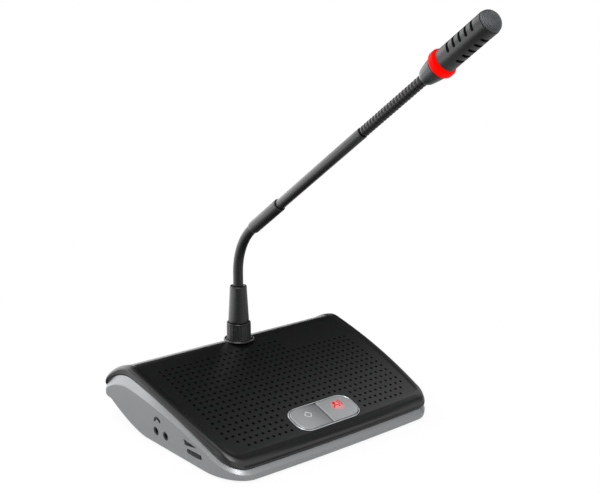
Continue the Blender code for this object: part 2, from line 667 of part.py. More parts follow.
def build_cover():
    """Black upper shell: dished panel, raised rim, rolled rear, bosses and perforation."""
    rear, split_y = REAR_ROLL_CURVE[-1][0], SPLIT_REAR_CURVE[-1][0]
    panel_y, crest_y = rear - REAR_EDGE_INSET, rear - 0.6 * REAR_EDGE_INSET
    panel = ring(panel_height, 1.0, RIM_SLOPE_WIDTH, panel_y)
    slope = ring(slope_height, 1.0, 0.45 * RIM_SLOPE_WIDTH, mix(panel_y, crest_y, 0.6))
    crest = ring(rim_height, 1.0, RIM_ROUND, crest_y)
    wall_top = ring(rim_height, 1.0, 0.0, mix(crest_y, rear, 0.6), -0.8 * RIM_ROUND)
    split = ring(split_height, SPLIT_SHARE, WAIST, split_y, CLEARANCE / 2)
    split_inner = ring(split_height, SPLIT_SHARE, WAIST, split_y, CLEARANCE / 2, WALL)
    crest_inner = ring(rim_height, 1.0, RIM_ROUND, crest_y, -PANEL_THICKNESS - RIM_ROUND / 2, WALL)
    ceiling = ring(panel_height, 1.0, RIM_SLOPE_WIDTH, panel_y, -PANEL_THICKNESS, PANEL_THICKNESS)
    rings = (panel, slope, crest, wall_top, split, split_inner, crest_inner, ceiling)
    cover = add_piece("top_cover", lofted_mesh("top_cover", rings), BLACK)

    bosses = bmesh.new()
    for _, x, y in both_sides(CASE_SCREW_SPOTS):
        top = panel_height(y) - PANEL_THICKNESS / 2
        add_cylinder(bosses, CASE_BOSS_RADIUS, FLOOR + CLEARANCE, top, at(x, y, 0.0))
    for x in (-BUTTON_BOARD_BOSS_X, BUTTON_BOARD_BOSS_X):
        low = CLEARANCE - button_board_drop()
        add_cylinder(bosses, 2.5, low, -PANEL_THICKNESS / 2, on_panel(x, BUTTON_Y))
    combine(cover, add_helper("cover_bosses", finished("cover_bosses", bosses)), "UNION")
    turret = bmesh.new()
    add_cylinder(turret, STEM_BOSS_RADIUS, SOCKET_TOP_Z - STEM_BOSS_DEPTH, SOCKET_TOP_Z, on_stem(), 24)
    combine(cover, add_helper("stem_boss", finished("stem_boss", turret)), "UNION")

    holes = bmesh.new()
    for _, x, y in both_sides(CASE_SCREW_SPOTS):
        add_cylinder(holes, CASE_SCREW[2] + CLEARANCE, 0.0, CASE_SCREW[3] + 1.5, at(x, y, 0.0), 10)
    for x in (-BUTTON_BOARD_BOSS_X, BUTTON_BOARD_BOSS_X):
        low = -button_board_drop() - 2.0
        add_cylinder(holes, BOARD_SCREW[2] + CLEARANCE, low, -3.0, on_panel(x, BUTTON_Y), 8)
    add_cylinder(holes, ESCUTCHEON_RADIUS + CLEARANCE, SOCKET_TOP_Z, SOCKET_TOP_Z + 8.0, on_stem(), 24)
    combine(cover, add_helper("cover_holes", finished("cover_holes", holes)), "DIFFERENCE")
    bore = bmesh.new()
    low, high = SOCKET_TOP_Z - 3 * STEM_BOSS_DEPTH, SOCKET_TOP_Z + 3 * STEM_BOSS_DEPTH
    add_cylinder(bore, SOCKET_RADIUS + CLEARANCE, low, high, on_stem(), 24)
    combine(cover, add_helper("stem_bore", finished("stem_bore", bore)), "DIFFERENCE")

    grow = CLEARANCE + BEZEL_WIDTH + CLEARANCE
    outline = even_outline(BUTTON_HALF_WIDTH + grow, BUTTON_HALF_LENGTH + grow, BUTTON_CORNER + grow)
    opening = flat_mesh("button_opening", [outline], -8.0, 8.0)
    combine(cover, add_helper("button_opening", opening, on_panel(0.0, BUTTON_Y)), "DIFFERENCE")
    grow += BEZEL_FLANGE
    outline = even_outline(BUTTON_HALF_WIDTH + grow, BUTTON_HALF_LENGTH + grow, BUTTON_CORNER + grow)
    pocket = flat_mesh("bezel_pocket", [outline], -20.0, CLEARANCE - BEZEL_FLANGE_DROP)
    combine(cover, add_helper("bezel_pocket", pocket, on_panel(0.0, BUTTON_Y)), "DIFFERENCE")

    grid = bmesh.new()
    above = 0.5
    for x, y, is_open in hole_spots():
        place = on_panel(x, y)
        if is_open:
            add_cylinder(grid, HOLE_RADIUS, -2 * PANEL_THICKNESS, above, place, HOLE_SIDES)
        else:
            mouth = HOLE_RADIUS * (PIT_DEPTH + above) / PIT_DEPTH
            add_cylinder(grid, 0.0, -PIT_DEPTH, above, place, HOLE_SIDES, mouth)
    combine(cover, add_helper("perforation", finished("perforation", grid)), "DIFFERENCE")


def button_board_drop():
    """How far the button board's top lies under the panel's surface."""
    flanges = BEZEL_FLANGE_DROP + BEZEL_FLANGE_THICKNESS + CLEARANCE + BUTTON_FLANGE_THICKNESS
    return flanges + BUTTON_TRAVEL + SWITCH_SIZE[2] + 2 * CLEARANCE


def build_buttons():
    """Bezel, two buttons with flanges under it, the lit lens, switches and their board."""
    flange_top = -BEZEL_FLANGE_DROP
    flange_low = flange_top - BEZEL_FLANGE_THICKNESS
    inner = CLEARANCE
    outer = CLEARANCE + BEZEL_WIDTH
    wide, long, corner = BUTTON_HALF_WIDTH, BUTTON_HALF_LENGTH, BUTTON_CORNER
    place = on_panel(0.0, BUTTON_Y)
    rim = [
        even_outline(wide + outer, long + outer, corner + outer),
        even_outline(wide + inner, long + inner, corner + inner),
    ]
    wall = flat_mesh("button_bezel", rim, flange_low + 0.1, BEZEL_PROUD)
    bezel = add_piece("button_bezel", wall, CHROME, place)
    middle = (inner + outer) / 2
    reach = outer + BEZEL_FLANGE
    skirt = [
        even_outline(wide + reach, long + reach, corner + reach),
        even_outline(wide + middle, long + middle, corner + middle),
    ]
    flange = flat_mesh("bezel_flange", skirt, flange_low, flange_top)
    combine(bezel, add_helper("bezel_flange", flange, place), "UNION")

    low = flange_low - CLEARANCE - BUTTON_FLANGE_THICKNESS
    split = CLEARANCE / 2
    for side, name, switch_name in ((-1, "left_button", "left_switch"), (1, "right_button", "right_switch")):
        place = on_panel(side * wide / 2, BUTTON_Y)
        radii = (corner, 0.8, 0.8, corner) if side < 0 else (0.8, corner, corner, 0.8)
        half = wide / 2
        edges = (-half, half - split) if side < 0 else (split - half, half)
        outline = rounded_outline((edges[0], -long), (edges[1], long), radii)
        mesh = flat_mesh(name, [outline], low + 0.2, BUTTON_PROUD)
        round_top_edges(mesh, BUTTON_EDGE)
        button = add_piece(name, mesh, BUTTON_GREY, place)
        flange_edges = (edges[0] - BUTTON_FLANGE * (side < 0), edges[1] + BUTTON_FLANGE * (side > 0))
        outline = rounded_outline(
            (flange_edges[0] + 0.05 * (side > 0), -long - BUTTON_FLANGE),
            (flange_edges[1] - 0.05 * (side < 0), long + BUTTON_FLANGE),
            radii,
        )
        flange = flat_mesh(name + "_flange", [outline], low, low + BUTTON_FLANGE_THICKNESS)
        combine(button, add_helper(name + "_flange", flange, place), "UNION")
        if side > 0:
            recess = bmesh.new()
            floor = BUTTON_PROUD - LENS_THICKNESS - CLEARANCE
            centre = at(0.0, LENS_OFFSET, 0.0)
            add_cylinder(recess, LENS_RADIUS + CLEARANCE, floor, BUTTON_PROUD + 1.0, centre)
            combine(button, add_helper("lens_recess", finished("lens_recess", recess), place), "DIFFERENCE")
            profile = (
                (0.0, BUTTON_PROUD),
                (LENS_RADIUS - 0.3, BUTTON_PROUD),
                (LENS_RADIUS, BUTTON_PROUD - 0.3),
                (LENS_RADIUS, BUTTON_PROUD - LENS_THICKNESS),
                (0.0, BUTTON_PROUD - LENS_THICKNESS),
            )
            lens_place = place @ at(0.0, LENS_OFFSET, 0.0)
            turned("button_lens", profile, RED_LIGHT, lens_place, 16)
        body = bmesh.new()
        top = low - BUTTON_TRAVEL - CLEARANCE
        base = top - SWITCH_SIZE[2]
        case = (SWITCH_SIZE[0], SWITCH_SIZE[1], SWITCH_SIZE[2] - 0.8)
        add_box(body, case, (0.0, 0.0, (top - 0.8 + base) / 2), at(0, 0, 0))
        switch = add_piece(switch_name, finished(switch_name, body), DARK_PLASTIC, place)
        plunger = bmesh.new()
        add_cylinder(plunger, 1.6, top - 1.4, top, at(0, 0, 0), 16)
        combine(switch, add_helper(switch_name + "_plunger", finished("plunger", plunger), place), "UNION")

    top = -button_board_drop()
    outline = even_outline(BUTTON_BOARD_HALF[0], BUTTON_BOARD_HALF[1], 2.0)
    holes = []
    for x in (-BUTTON_BOARD_BOSS_X, BUTTON_BOARD_BOSS_X):
        circle = round_outline(BOARD_SCREW[2] + CLEARANCE, 8)
        holes.append([(x + u, v) for u, v in circle])
    board = flat_mesh("button_board", [outline, *holes], top - BOARD_THICKNESS, top)
    add_piece("button_board", board, BOARD_GREEN, on_panel(0.0, BUTTON_Y))
    for x, name in ((-BUTTON_BOARD_BOSS_X, "left"), (BUTTON_BOARD_BOSS_X, "right")):
        under = at(0, 0, top - BOARD_THICKNESS - CLEARANCE, Matrix.Rotation(math.pi, 4, "X"))
        build_screw(f"button_board_screw_{name}", BOARD_SCREW, on_panel(x, BUTTON_Y) @ under)


def round_top_edges(mesh, width):
    """Round the edges of a plate's upper face."""
    bm = bmesh.new()
    bm.from_mesh(mesh)
    top = max(vert.co.z for vert in bm.verts)
    bmesh.ops.dissolve_limit(bm, angle_limit=math.radians(1.0), verts=bm.verts, edges=bm.edges)
    edges = [edge for edge in bm.edges if all(abs(vert.co.z - top) < 1e-7 for vert in edge.verts)]
    bmesh.ops.bevel(bm, geom=edges, offset=width * MM, segments=2, profile=0.5, affect="EDGES")
    bm.to_mesh(mesh)
    bm.free()


def build_screw(name, sizes, place):
    """Pan-head screw whose head's underside is at the place, with the shaft going down."""
    head, height, shaft, length = sizes
    profile = (
        (0.0, height),
        (head, 0.6 * height),
        (head, 0.0),
        (shaft, 0.0),
        (shaft, -length),
        (0.0, -length),
    )
    turned(name, profile, STEEL, place, 10)


def build_speaker():
    """Loudspeaker parallel to the panel: basket, cone with dome, and magnet."""
    place = on_panel(0.0, SPEAKER_Y)
    top = -SPEAKER_DROP
    bottom = top - SPEAKER_DEPTH
    radius = SPEAKER_RADIUS
    frame = (
        (radius - SPEAKER_RIM, top),
        (radius, top),
        (radius, top - 1.2),
        (radius - 2.5, top - 1.2),
        (MAGNET_RADIUS, bottom),
        (THROAT_RADIUS, bottom),
        (THROAT_RADIUS, bottom + 1.0),
        (MAGNET_RADIUS - 0.8, bottom + 1.0),
        (radius - SPEAKER_RIM, top - 1.8),
    )
    turned("speaker_frame", frame, STEEL, place, 18)
    edge = radius - SPEAKER_RIM - CLEARANCE
    cone = (
        (0.0, top - DOME_DROP),
        (THROAT_RADIUS, top - THROAT_DROP),
        (edge - 2.5, top - 0.9),
        (edge - 1.2, top - 0.4),
        (edge, top - 0.6),
        (edge, top - 1.2),
        (edge - 2.5, top - 1.6),
        (THROAT_RADIUS + PAPER_THICKNESS, top - THROAT_DROP - PAPER_THICKNESS),
        (0.0, top - DOME_DROP - PAPER_THICKNESS),
    )
    turned("speaker_cone", cone, PAPER, place, 18)
    low = bottom - CLEARANCE
    magnet = (
        (0.0, low),
        (MAGNET_RADIUS, low),
        (MAGNET_RADIUS, low - MAGNET_HEIGHT),
        (0.0, low - MAGNET_HEIGHT),
    )
    turned("speaker_magnet", magnet, STEEL, place, 20)


def build_inside():
    """Feet, screws, ballast plate, main board and its fittings."""
    for name, x, y in both_sides(FOOT_SPOTS):
        top = FOOT_RECESS - CLEARANCE
        profile = (
            (0.0, top),
            (FOOT_RADIUS, top),
            (FOOT_RADIUS, 0.4 - FOOT_HEIGHT),
            (FOOT_RADIUS - 0.4, -FOOT_HEIGHT),
            (0.0, -FOOT_HEIGHT),
        )
        turned(f"rubber_foot_{name}", profile, RUBBER, at(x, y, 0.0), 12)
    over = Matrix.Rotation(math.pi, 4, "X")
    for name, x, y in both_sides(CASE_SCREW_SPOTS):
        build_screw(f"case_screw_{name}", CASE_SCREW, at(x, y, COUNTERBORE_DEPTH - CLEARANCE, over))
    for name, x, y in both_sides(BOARD_SCREW_SPOTS):
        top = MAIN_BOARD_Z + BOARD_THICKNESS + CLEARANCE
        build_screw(f"board_screw_{name}", BOARD_SCREW, at(x, y, top))

    corner, opposite = (-BALLAST_HALF_WIDTH, BALLAST_Y[0]), (BALLAST_HALF_WIDTH, BALLAST_Y[1])
    outline = rounded_outline(corner, opposite, (4.0,) * 4, 3)
    pins = []
    for x in (-BALLAST_PIN[0], BALLAST_PIN[0]):
        circle = round_outline(BALLAST_PIN_RADIUS + CLEARANCE, 10)
        pins.append([(x + u, BALLAST_PIN[1] + v) for u, v in circle])
    low = FLOOR + CLEARANCE
    plate = flat_mesh("ballast_plate", [outline, *pins], low, low + BALLAST_THICKNESS)
    add_piece("ballast_plate", plate, STEEL)

    wide = MAIN_BOARD_HALF_WIDTH
    front, rear = MAIN_BOARD_Y
    outline = [(-wide, rear), (-wide, BOARD_ARM[1]), (-BOARD_ARM[0], BOARD_ARM[1])]
    outline += [(-BOARD_ARM[0], front), (wide, front), (wide, rear)]
    loops = [outline]
    for _, x, y in both_sides(BOARD_SCREW_SPOTS):
        loops.append([(x + u, y + v) for u, v in round_outline(BOARD_SCREW[2] + CLEARANCE, 8)])
    for _, x, y in both_sides(CASE_SCREW_SPOTS):
        if y > front:
            loops.append([(x + u, y + v) for u, v in round_outline(CASE_BOSS_RADIUS + CLEARANCE, 16)])
    top = MAIN_BOARD_Z + BOARD_THICKNESS
    board = add_piece("main_board", flat_mesh("main_board", loops, MAIN_BOARD_Z, top), BOARD_GREEN)
    chips = bmesh.new()
    for centre_x, centre_y, size in CHIPS:
        add_box(chips, (size, size, CHIP_HEIGHT), (centre_x, centre_y, top + CHIP_HEIGHT / 4), at(0, 0, 0))
    add_cylinder(chips, CAPACITOR[0], top - 0.6, top + CAPACITOR[1], at(*CAPACITOR_SPOT, 0.0), 12)
    combine(board, add_helper("board_parts", finished("board_parts", chips)), "UNION")


def build_jacks():
    """Two 3.5 mm jacks whose noses reach through the left wall."""
    for y, name in zip(JACK_YS, ("headphone_jack", "recorder_jack")):
        wall = wall_half_width(y, JACK_Z)
        place = at(-wall, y, JACK_Z, Matrix.Rotation(math.pi / 2, 4, "Y"))
        length, width, height = JACK_BODY
        inner = WALL + 4 * CLEARANCE
        body = bmesh.new()
        add_box(body, (height, width, length), (0.0, 0.0, inner + length / 2), at(0, 0, 0))
        jack = add_piece(name, finished(name, body), DARK_PLASTIC, place)
        nose = bmesh.new()
        add_cylinder(nose, JACK_HOLE_RADIUS - CLEARANCE, 0.4, inner + 1.0, at(0, 0, 0))
        combine(jack, add_helper(name + "_nose", finished(name, nose), place), "UNION")
        bore = bmesh.new()
        add_cylinder(bore, JACK_BORE_RADIUS, -1.0, JACK_BORE_DEPTH, at(0, 0, 0), 12)
        combine(jack, add_helper(name + "_bore", finished(name, bore), place), "DIFFERENCE")


def build_volume_wheel():
    """Edge wheel in the left slot, on the shaft of a flat rotary control."""
    centre_x = WHEEL_RADIUS - WHEEL_PROUD - wall_half_width(WHEEL_Y, WHEEL_Z)
    loops = [
        toothed_outline(WHEEL_RADIUS, WHEEL_TOOTH, WHEEL_TEETH),
        round_outline(WHEEL_SHAFT_RADIUS + CLEARANCE, 12),
    ]
    half = WHEEL_THICKNESS / 2
    wheel = flat_mesh("volume_wheel", loops, -half, half)
    add_piece("volume_wheel", wheel, DARK_PLASTIC, at(centre_x, WHEEL_Y, WHEEL_Z))
    base = MAIN_BOARD_Z + BOARD_THICKNESS + CLEARANCE
    body = bmesh.new()
    add_box(body, CONTROL_BODY, (0.0, 0.0, base + CONTROL_BODY[2] / 2), at(0, 0, 0))
    place = at(centre_x, WHEEL_Y, 0.0)
    control = add_piece("volume_control", finished("volume_control", body), DARK_PLASTIC, place)
    shaft = bmesh.new()
    add_cylinder(shaft, WHEEL_SHAFT_RADIUS, base + 0.5, WHEEL_Z + half, at(0, 0, 0), 12)
    combine(control, add_helper("volume_shaft", finished("volume_shaft", shaft), place), "UNION")


def build_link_sockets():
    """Round chassis sockets flush with the rear underside."""
    radius = LINK_SOCKET_RADIUS
    seat = -FLOOR - 5 * CLEARANCE
    profile = (
        (0.0, 0.0),
        (radius - 1.9, 0.0),
        (radius - 1.9, -3.0),
        (radius - 0.8, -3.0),
        (radius - 0.8, 0.0),
        (radius, 0.0),
        (radius, seat),
        (radius + LINK_FLANGE, seat),
        (radius + LINK_FLANGE, seat - 1.2),
        (radius, seat - 1.2),
        (radius, -LINK_SOCKET_DEPTH),
        (0.0, -LINK_SOCKET_DEPTH),
    )
    for x, name in ((-LINK_SOCKET_X, "link_socket_in"), (LINK_SOCKET_X, "link_socket_out")):
        place = on_underside(x, LINK_SOCKET_Y)
        socket = turned(name, profile, DARK_PLASTIC, place, 16)
        contacts = bmesh.new()
        for step in range(LINK_CONTACTS):
            angle = 2 * math.pi * step / LINK_CONTACTS
            spot = at(LINK_CONTACT_CIRCLE * math.cos(angle), LINK_CONTACT_CIRCLE * math.sin(angle), 0.0)
            add_cylinder(contacts, 0.6, -5.0, 1.0, spot, 4)
        combine(socket, add_helper(name + "_contacts", finished("contacts", contacts), place), "DIFFERENCE")


def build_stem_foot():
    """Socket in the cover, ring round the foot, plug, lock collar and tapered sleeve."""
    top = SOCKET_TOP_Z
    bore = PLUG_RADIUS + CLEARANCE
    shelf = top - STEM_BOSS_DEPTH - CLEARANCE
    bottom = top - SOCKET_DEPTH
    socket = (
        (0.0, bottom + SOCKET_FLOOR),
        (bore, bottom + SOCKET_FLOOR),
        (bore, top),
        (SOCKET_RADIUS, top),
        (SOCKET_RADIUS, shelf),
        (SOCKET_FLANGE_RADIUS, shelf),
        (SOCKET_FLANGE_RADIUS, shelf - 1.8),
        (SOCKET_RADIUS, shelf - 1.8),
        (SOCKET_RADIUS, bottom),
        (0.0, bottom),
    )
    turned("mic_socket", socket, DARK_PLASTIC, on_stem(), 20)
    seat = top + CLEARANCE
    inner = COLLAR_RADIUS + CLEARANCE
    escutcheon = (
        (inner, seat + ESCUTCHEON_HEIGHT - 0.2),
        (inner + 0.2, seat + ESCUTCHEON_HEIGHT),
        (ESCUTCHEON_RADIUS - 0.7, seat + ESCUTCHEON_HEIGHT),
        (ESCUTCHEON_RADIUS, seat + 0.4),
        (ESCUTCHEON_RADIUS, seat),
        (inner, seat),
    )
    turned("stem_escutcheon", escutcheon, BLACK_METAL, on_stem(), 24)

    plug_low = bottom + SOCKET_FLOOR + CLEARANCE
    plug = (
        (0.0, PLUG_NECK_TOP_Z),
        (PLUG_NECK_RADIUS, PLUG_NECK_TOP_Z),
        (PLUG_NECK_RADIUS, COLLAR_TOP_Z),
        (PLUG_RADIUS, COLLAR_TOP_Z),
        (PLUG_RADIUS, plug_low + 1.0),
        (PLUG_RADIUS - 1.0, plug_low),
        (0.0, plug_low),
    )
    turned("stem_plug", plug, STEEL, on_stem(), 20)

    loops = [toothed_outline(COLLAR_RADIUS, COLLAR_FLUTE_DEPTH, COLLAR_FLUTES), round_outline(bore, 24)]
    collar = flat_mesh("lock_collar", loops, seat, COLLAR_TOP_Z)
    add_piece("lock_collar", collar, BLACK_METAL, on_stem())

    low = COLLAR_TOP_Z + CLEARANCE
    seat_radius = LOWER_NECK_RADIUS + CLEARANCE
    sleeve_bore = PLUG_NECK_RADIUS + CLEARANCE
    step = PLUG_NECK_TOP_Z + CLEARANCE
    sleeve = (
        (seat_radius, SLEEVE_TOP_Z),
        (SLEEVE_RADII[1] - 0.4, SLEEVE_TOP_Z),
        (SLEEVE_RADII[1], SLEEVE_TOP_Z - 0.4),
        (SLEEVE_RADII[0], low + 1.8),
        (SLEEVE_RADII[0], low + 0.3),
        (SLEEVE_RADII[0] - 0.3, low),
        (sleeve_bore, low),
        (sleeve_bore, step),
        (seat_radius, step),
    )
    turned("stem_sleeve", sleeve, BLACK_METAL, on_stem(), 20)


def lower_neck_points():
    """Route of the lower gooseneck: up the stem, round the bend and into the ferrule."""
    low = PLUG_NECK_TOP_Z + 2 * CLEARANCE
    bend = math.pi / 2 - ARM_ELEVATION
    points = [(0.0, STEM_Y, low), (0.0, STEM_Y, SLEEVE_TOP_Z), (0.0, STEM_Y, LOWER_NECK_STRAIGHT_Z)]
    steps = 10
    for step in range(1, steps + 1):
        angle = bend * step / steps
        y = STEM_Y - LOWER_NECK_BEND_RADIUS * (1.0 - math.cos(angle))
        z = LOWER_NECK_STRAIGHT_Z + LOWER_NECK_BEND_RADIUS * math.sin(angle)
        points.append((0.0, y, z))
    points.append(tuple(on_arm(NECK_SEAT).to_translation() / MM))
    return points


def ribbed_route(length, plain, ribs, outer, groove):
    """Heights and radius shares of a tube with plain ends and evenly spaced ribs."""
    pitch = (length - 2 * plain) / ribs
    heights, shares = [0.0], [1.0]
    for rib in range(ribs):
        heights += [plain + (rib + 0.3) * pitch, plain + (rib + 0.7) * pitch]
        shares += [groove / outer, 1.0]
    heights.append(length)
    shares.append(1.0)
    return heights, shares


def build_arm():
    """Smooth lower gooseneck, ferrule, rigid tube and ribbed upper gooseneck."""
    neck = tube_curve("lower_gooseneck", lower_neck_points(), LOWER_NECK_RADIUS, None, 3)
    add_piece("lower_gooseneck", neck, RUBBER)
    seat = LOWER_NECK_RADIUS + CLEARANCE
    socket = TUBE_RADIUS + CLEARANCE
    ferrule = (
        (socket, FERRULE_LENGTH),
        (FERRULE_RADIUS - 0.2, FERRULE_LENGTH),
        (FERRULE_RADIUS, FERRULE_LENGTH - 0.5),
        (FERRULE_RADIUS, 0.0),
        (seat, 0.0),
        (seat, NECK_SEAT + CLEARANCE),
        (TUBE_BORE_RADIUS, NECK_SEAT + CLEARANCE),
        (TUBE_BORE_RADIUS, FERRULE_LENGTH - TUBE_SEAT),
        (socket, FERRULE_LENGTH - TUBE_SEAT),
    )
    turned("lower_ferrule", ferrule, BLACK_METAL, on_arm(0.0), 16)
    start = FERRULE_LENGTH - TUBE_SEAT + CLEARANCE
    tube = (
        (TUBE_BORE_RADIUS, TUBE_END),
        (TUBE_RADIUS, TUBE_END),
        (TUBE_RADIUS, start),
        (TUBE_BORE_RADIUS, start),
    )
    turned("stem_tube", tube, BLACK_METAL, on_arm(0.0), 20)

    outer, groove = UPPER_NECK_RADIUS, UPPER_NECK_GROOVE_RADIUS
    heights, shares = ribbed_route(UPPER_NECK_LENGTH, UPPER_NECK_PLAIN_END, UPPER_NECK_RIBS, outer, groove)
    points = [(0.0, 0.0, height) for height in heights]
    curve = tube_curve("upper_gooseneck", points, outer, shares, 2)
    place = on_arm(TUBE_END + CLEARANCE)
    neck = add_piece("upper_gooseneck", mesh_of_curve("upper_gooseneck", curve), RUBBER, place)
    bore = bmesh.new()
    add_cylinder(bore, UPPER_NECK_BORE_RADIUS, -1.0, UPPER_NECK_LENGTH + 1.0, at(0, 0, 0), 8)
    combine(neck, add_helper("neck_bore", finished("neck_bore", bore), place), "DIFFERENCE")


def build_head():
    """Cone, lit ring, slotted barrel with foam and capsule, and domed mesh cap."""
    start = TUBE_END + UPPER_NECK_LENGTH + 2 * CLEARANCE
    tip = CONE_LENGTH
    cone = (
        (0.0, tip + SPIGOT_LENGTH),
        (SPIGOT_RADIUS, tip + SPIGOT_LENGTH),
        (SPIGOT_RADIUS, tip),
        (CONE_RADII[1] - 0.2, tip),
        (CONE_RADII[1], tip - 0.4),
        (mix(*CONE_RADII, 0.62), 0.5 * tip),
        (mix(*CONE_RADII, 0.3), 0.18 * tip),
        (CONE_RADII[0], 0.6),
        (CONE_RADII[0] - 0.4, 0.0),
        (0.0, 0.0),
    )
    turned("head_cone", cone, GREY_METAL, on_arm(start), 20)
    start += CONE_LENGTH + CLEARANCE
    bore = SPIGOT_RADIUS + CLEARANCE
    light = (
        (bore, RING_LENGTH),
        (RING_RADIUS - 0.9, RING_LENGTH),
        (RING_RADIUS - 0.2, RING_LENGTH - 0.7),
        (RING_RADIUS, RING_LENGTH / 2),
        (RING_RADIUS - 0.2, 0.7),
        (RING_RADIUS - 0.9, 0.0),
        (bore, 0.0),
    )
    turned("light_ring", light, RED_LIGHT, on_arm(start), 20)
    start += RING_LENGTH + CLEARANCE
    inside = BARREL_RADIUS - BARREL_WALL
    barrel = (
        (inside, BARREL_LENGTH),
        (BARREL_RADIUS, BARREL_LENGTH),
        (BARREL_RADIUS, 0.3),
        (BARREL_RADIUS - 0.3, 0.0),
        (bore, 0.0),
        (bore, BARREL_FLOOR),
        (inside, BARREL_FLOOR),
    )
    shell = turned("head_barrel", barrel, BLACK_METAL, on_arm(start), 18)
    slots = bmesh.new()
    width = 2 * BARREL_RADIUS * math.sin(SLOT_ANGLE / 2)
    reach = BARREL_RADIUS / 2
    for row in range(SLOT_ROWS):
        turn = Matrix.Rotation(SLOT_ROW_START + 2 * math.pi * row / SLOT_ROWS, 4, "Z")
        for slot in range(SLOTS_IN_ROW):
            centre = (BARREL_RADIUS, 0.0, FIRST_SLOT + slot * SLOT_PITCH)
            add_box(slots, (reach, width, SLOT_LENGTH), centre, turn)
    combine(shell, add_helper("barrel_slots", finished("barrel_slots", slots), on_arm(start)), "DIFFERENCE")

    low = BARREL_FLOOR + CLEARANCE
    high = BARREL_LENGTH - CLEARANCE
    outer = inside - CLEARANCE
    foam = ((outer - FOAM_WALL, high), (outer, high), (outer, low), (outer - FOAM_WALL, low))
    turned("head_foam", foam, FOAM, on_arm(start), 16)
    radius = outer - FOAM_WALL - CLEARANCE
    capsule = ((0.0, high), (radius, high), (radius, high - CAPSULE_LENGTH), (0.0, high - CAPSULE_LENGTH))
    turned("mic_capsule", capsule, STEEL, on_arm(start), 16)

    steps = 6
    angles = [math.pi / 2 * step / steps for step in range(steps + 1)]
    dome = [(CAP_RADIUS * math.sin(angle), CAP_HEIGHT * math.cos(angle)) for angle in angles]
    radius, height = CAP_RADIUS - CAP_WALL, CAP_HEIGHT - CAP_WALL
    hollow = [(radius * math.sin(angle), height * math.cos(angle)) for angle in reversed(angles)]
    profile = [(r if r > 1e-9 else 0.0, z if z > 1e-9 else 0.0) for r, z in dome + hollow]
    turned("mesh_cap", profile, MESH_METAL, on_arm(cap_start()), 18)


def cap_start():
    """Where the mesh cap's base lies along the arm."""
    start = TUBE_END + UPPER_NECK_LENGTH + CONE_LENGTH + RING_LENGTH + BARREL_LENGTH
    return start + 5 * CLEARANCE


def footprint_middle():
    """Y half way between the rear lip and the foremost point of the mesh cap."""
    base_y = on_arm(cap_start()).to_translation().y / MM
    reach = math.hypot(CAP_HEIGHT * math.cos(ARM_ELEVATION), CAP_RADIUS * math.sin(ARM_ELEVATION))
    return (REAR_TIP_Y + base_y - reach) / 2


for leftover in list(bpy.data.objects):
    bpy.data.objects.remove(leftover)

SILVER = paint("silver_plastic", 0x95979A, 0.35, 0.4)
BLACK = paint("black_plastic", 0x232427, 0.4)
BUTTON_GREY = paint("button_plastic", 0x9A9B9E, 0.4)
CHROME = paint("bright_trim", 0xC8C9CB, 0.15, 1.0)
RED_LIGHT = paint("red_light", 0xFF0A00, 0.3, 0.0, 2.0)
DARK_PLASTIC = paint("socket_plastic", 0x18181A, 0.5)
BOARD_GREEN = paint("circuit_board", 0x1E5A36, 0.5)
STEEL = paint("steel", 0x8C8E90, 0.35, 1.0)
PAPER = paint("cone_paper", 0x2A2A2A, 0.9)
RUBBER = paint("black_rubber", 0x1A1A1B, 0.6)
BLACK_METAL = paint("black_metal", 0x1E1F21, 0.3, 0.6)
GREY_METAL = paint("grey_metal", 0x4A4C4F, 0.25, 0.8)
MESH_METAL = paint("mesh_metal", 0x55575A, 0.4, 0.8)
FOAM = paint("black_foam", 0x121212, 0.95)

parts = bpy.data.collections.new("conference_delegate_unit")
cutters = bpy.data.collections.new("cutters")
for group in (parts, cutters):
    bpy.context.scene.collection.children.link(group)
cutters.hide_render = True

root = bpy.data.objects.new("delegate_unit_root", None)
root.location = Vector((0.0, -footprint_middle(), FOOT_HEIGHT)) * MM
parts.objects.link(root)

build_housing()
build_cover()
build_buttons()
build_speaker()
build_inside()
build_jacks()
build_volume_wheel()
build_link_sockets()
build_stem_foot()
build_arm()
build_head()
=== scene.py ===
"""Conference delegate unit: the finished look of the casing, buttons and gooseneck microphone.

Lengths in the shape functions are in millimetres from a point on the middle plane under the
housing's front, with X to the unit's right, Y to its rear and Z up from the housing's floor.
They become metres when a mesh is made.
"""

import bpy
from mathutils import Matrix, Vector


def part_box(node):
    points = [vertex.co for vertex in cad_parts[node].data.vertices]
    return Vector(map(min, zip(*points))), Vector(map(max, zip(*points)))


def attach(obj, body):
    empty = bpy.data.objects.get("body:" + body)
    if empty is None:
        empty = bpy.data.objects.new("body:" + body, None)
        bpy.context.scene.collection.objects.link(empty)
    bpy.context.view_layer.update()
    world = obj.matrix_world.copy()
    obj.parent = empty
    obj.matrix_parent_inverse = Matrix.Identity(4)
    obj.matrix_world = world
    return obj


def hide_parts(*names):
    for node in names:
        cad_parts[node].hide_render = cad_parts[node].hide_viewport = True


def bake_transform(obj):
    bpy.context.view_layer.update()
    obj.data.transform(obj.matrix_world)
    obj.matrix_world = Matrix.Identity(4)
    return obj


bl_info = {
    "name": "Conference delegate unit",
    "version": (1, 0, 0),
    "blender": (4, 5, 0),
    "location": "3D View > Sidebar > Delegate unit",
    "description": "Dresses a table unit with a loudspeaker panel, buttons and a gooseneck microphone",
    "category": "Object",
}

import math

import bmesh
import bpy
from bpy.props import FloatProperty, FloatVectorProperty, IntProperty, PointerProperty
from mathutils import Matrix, Vector

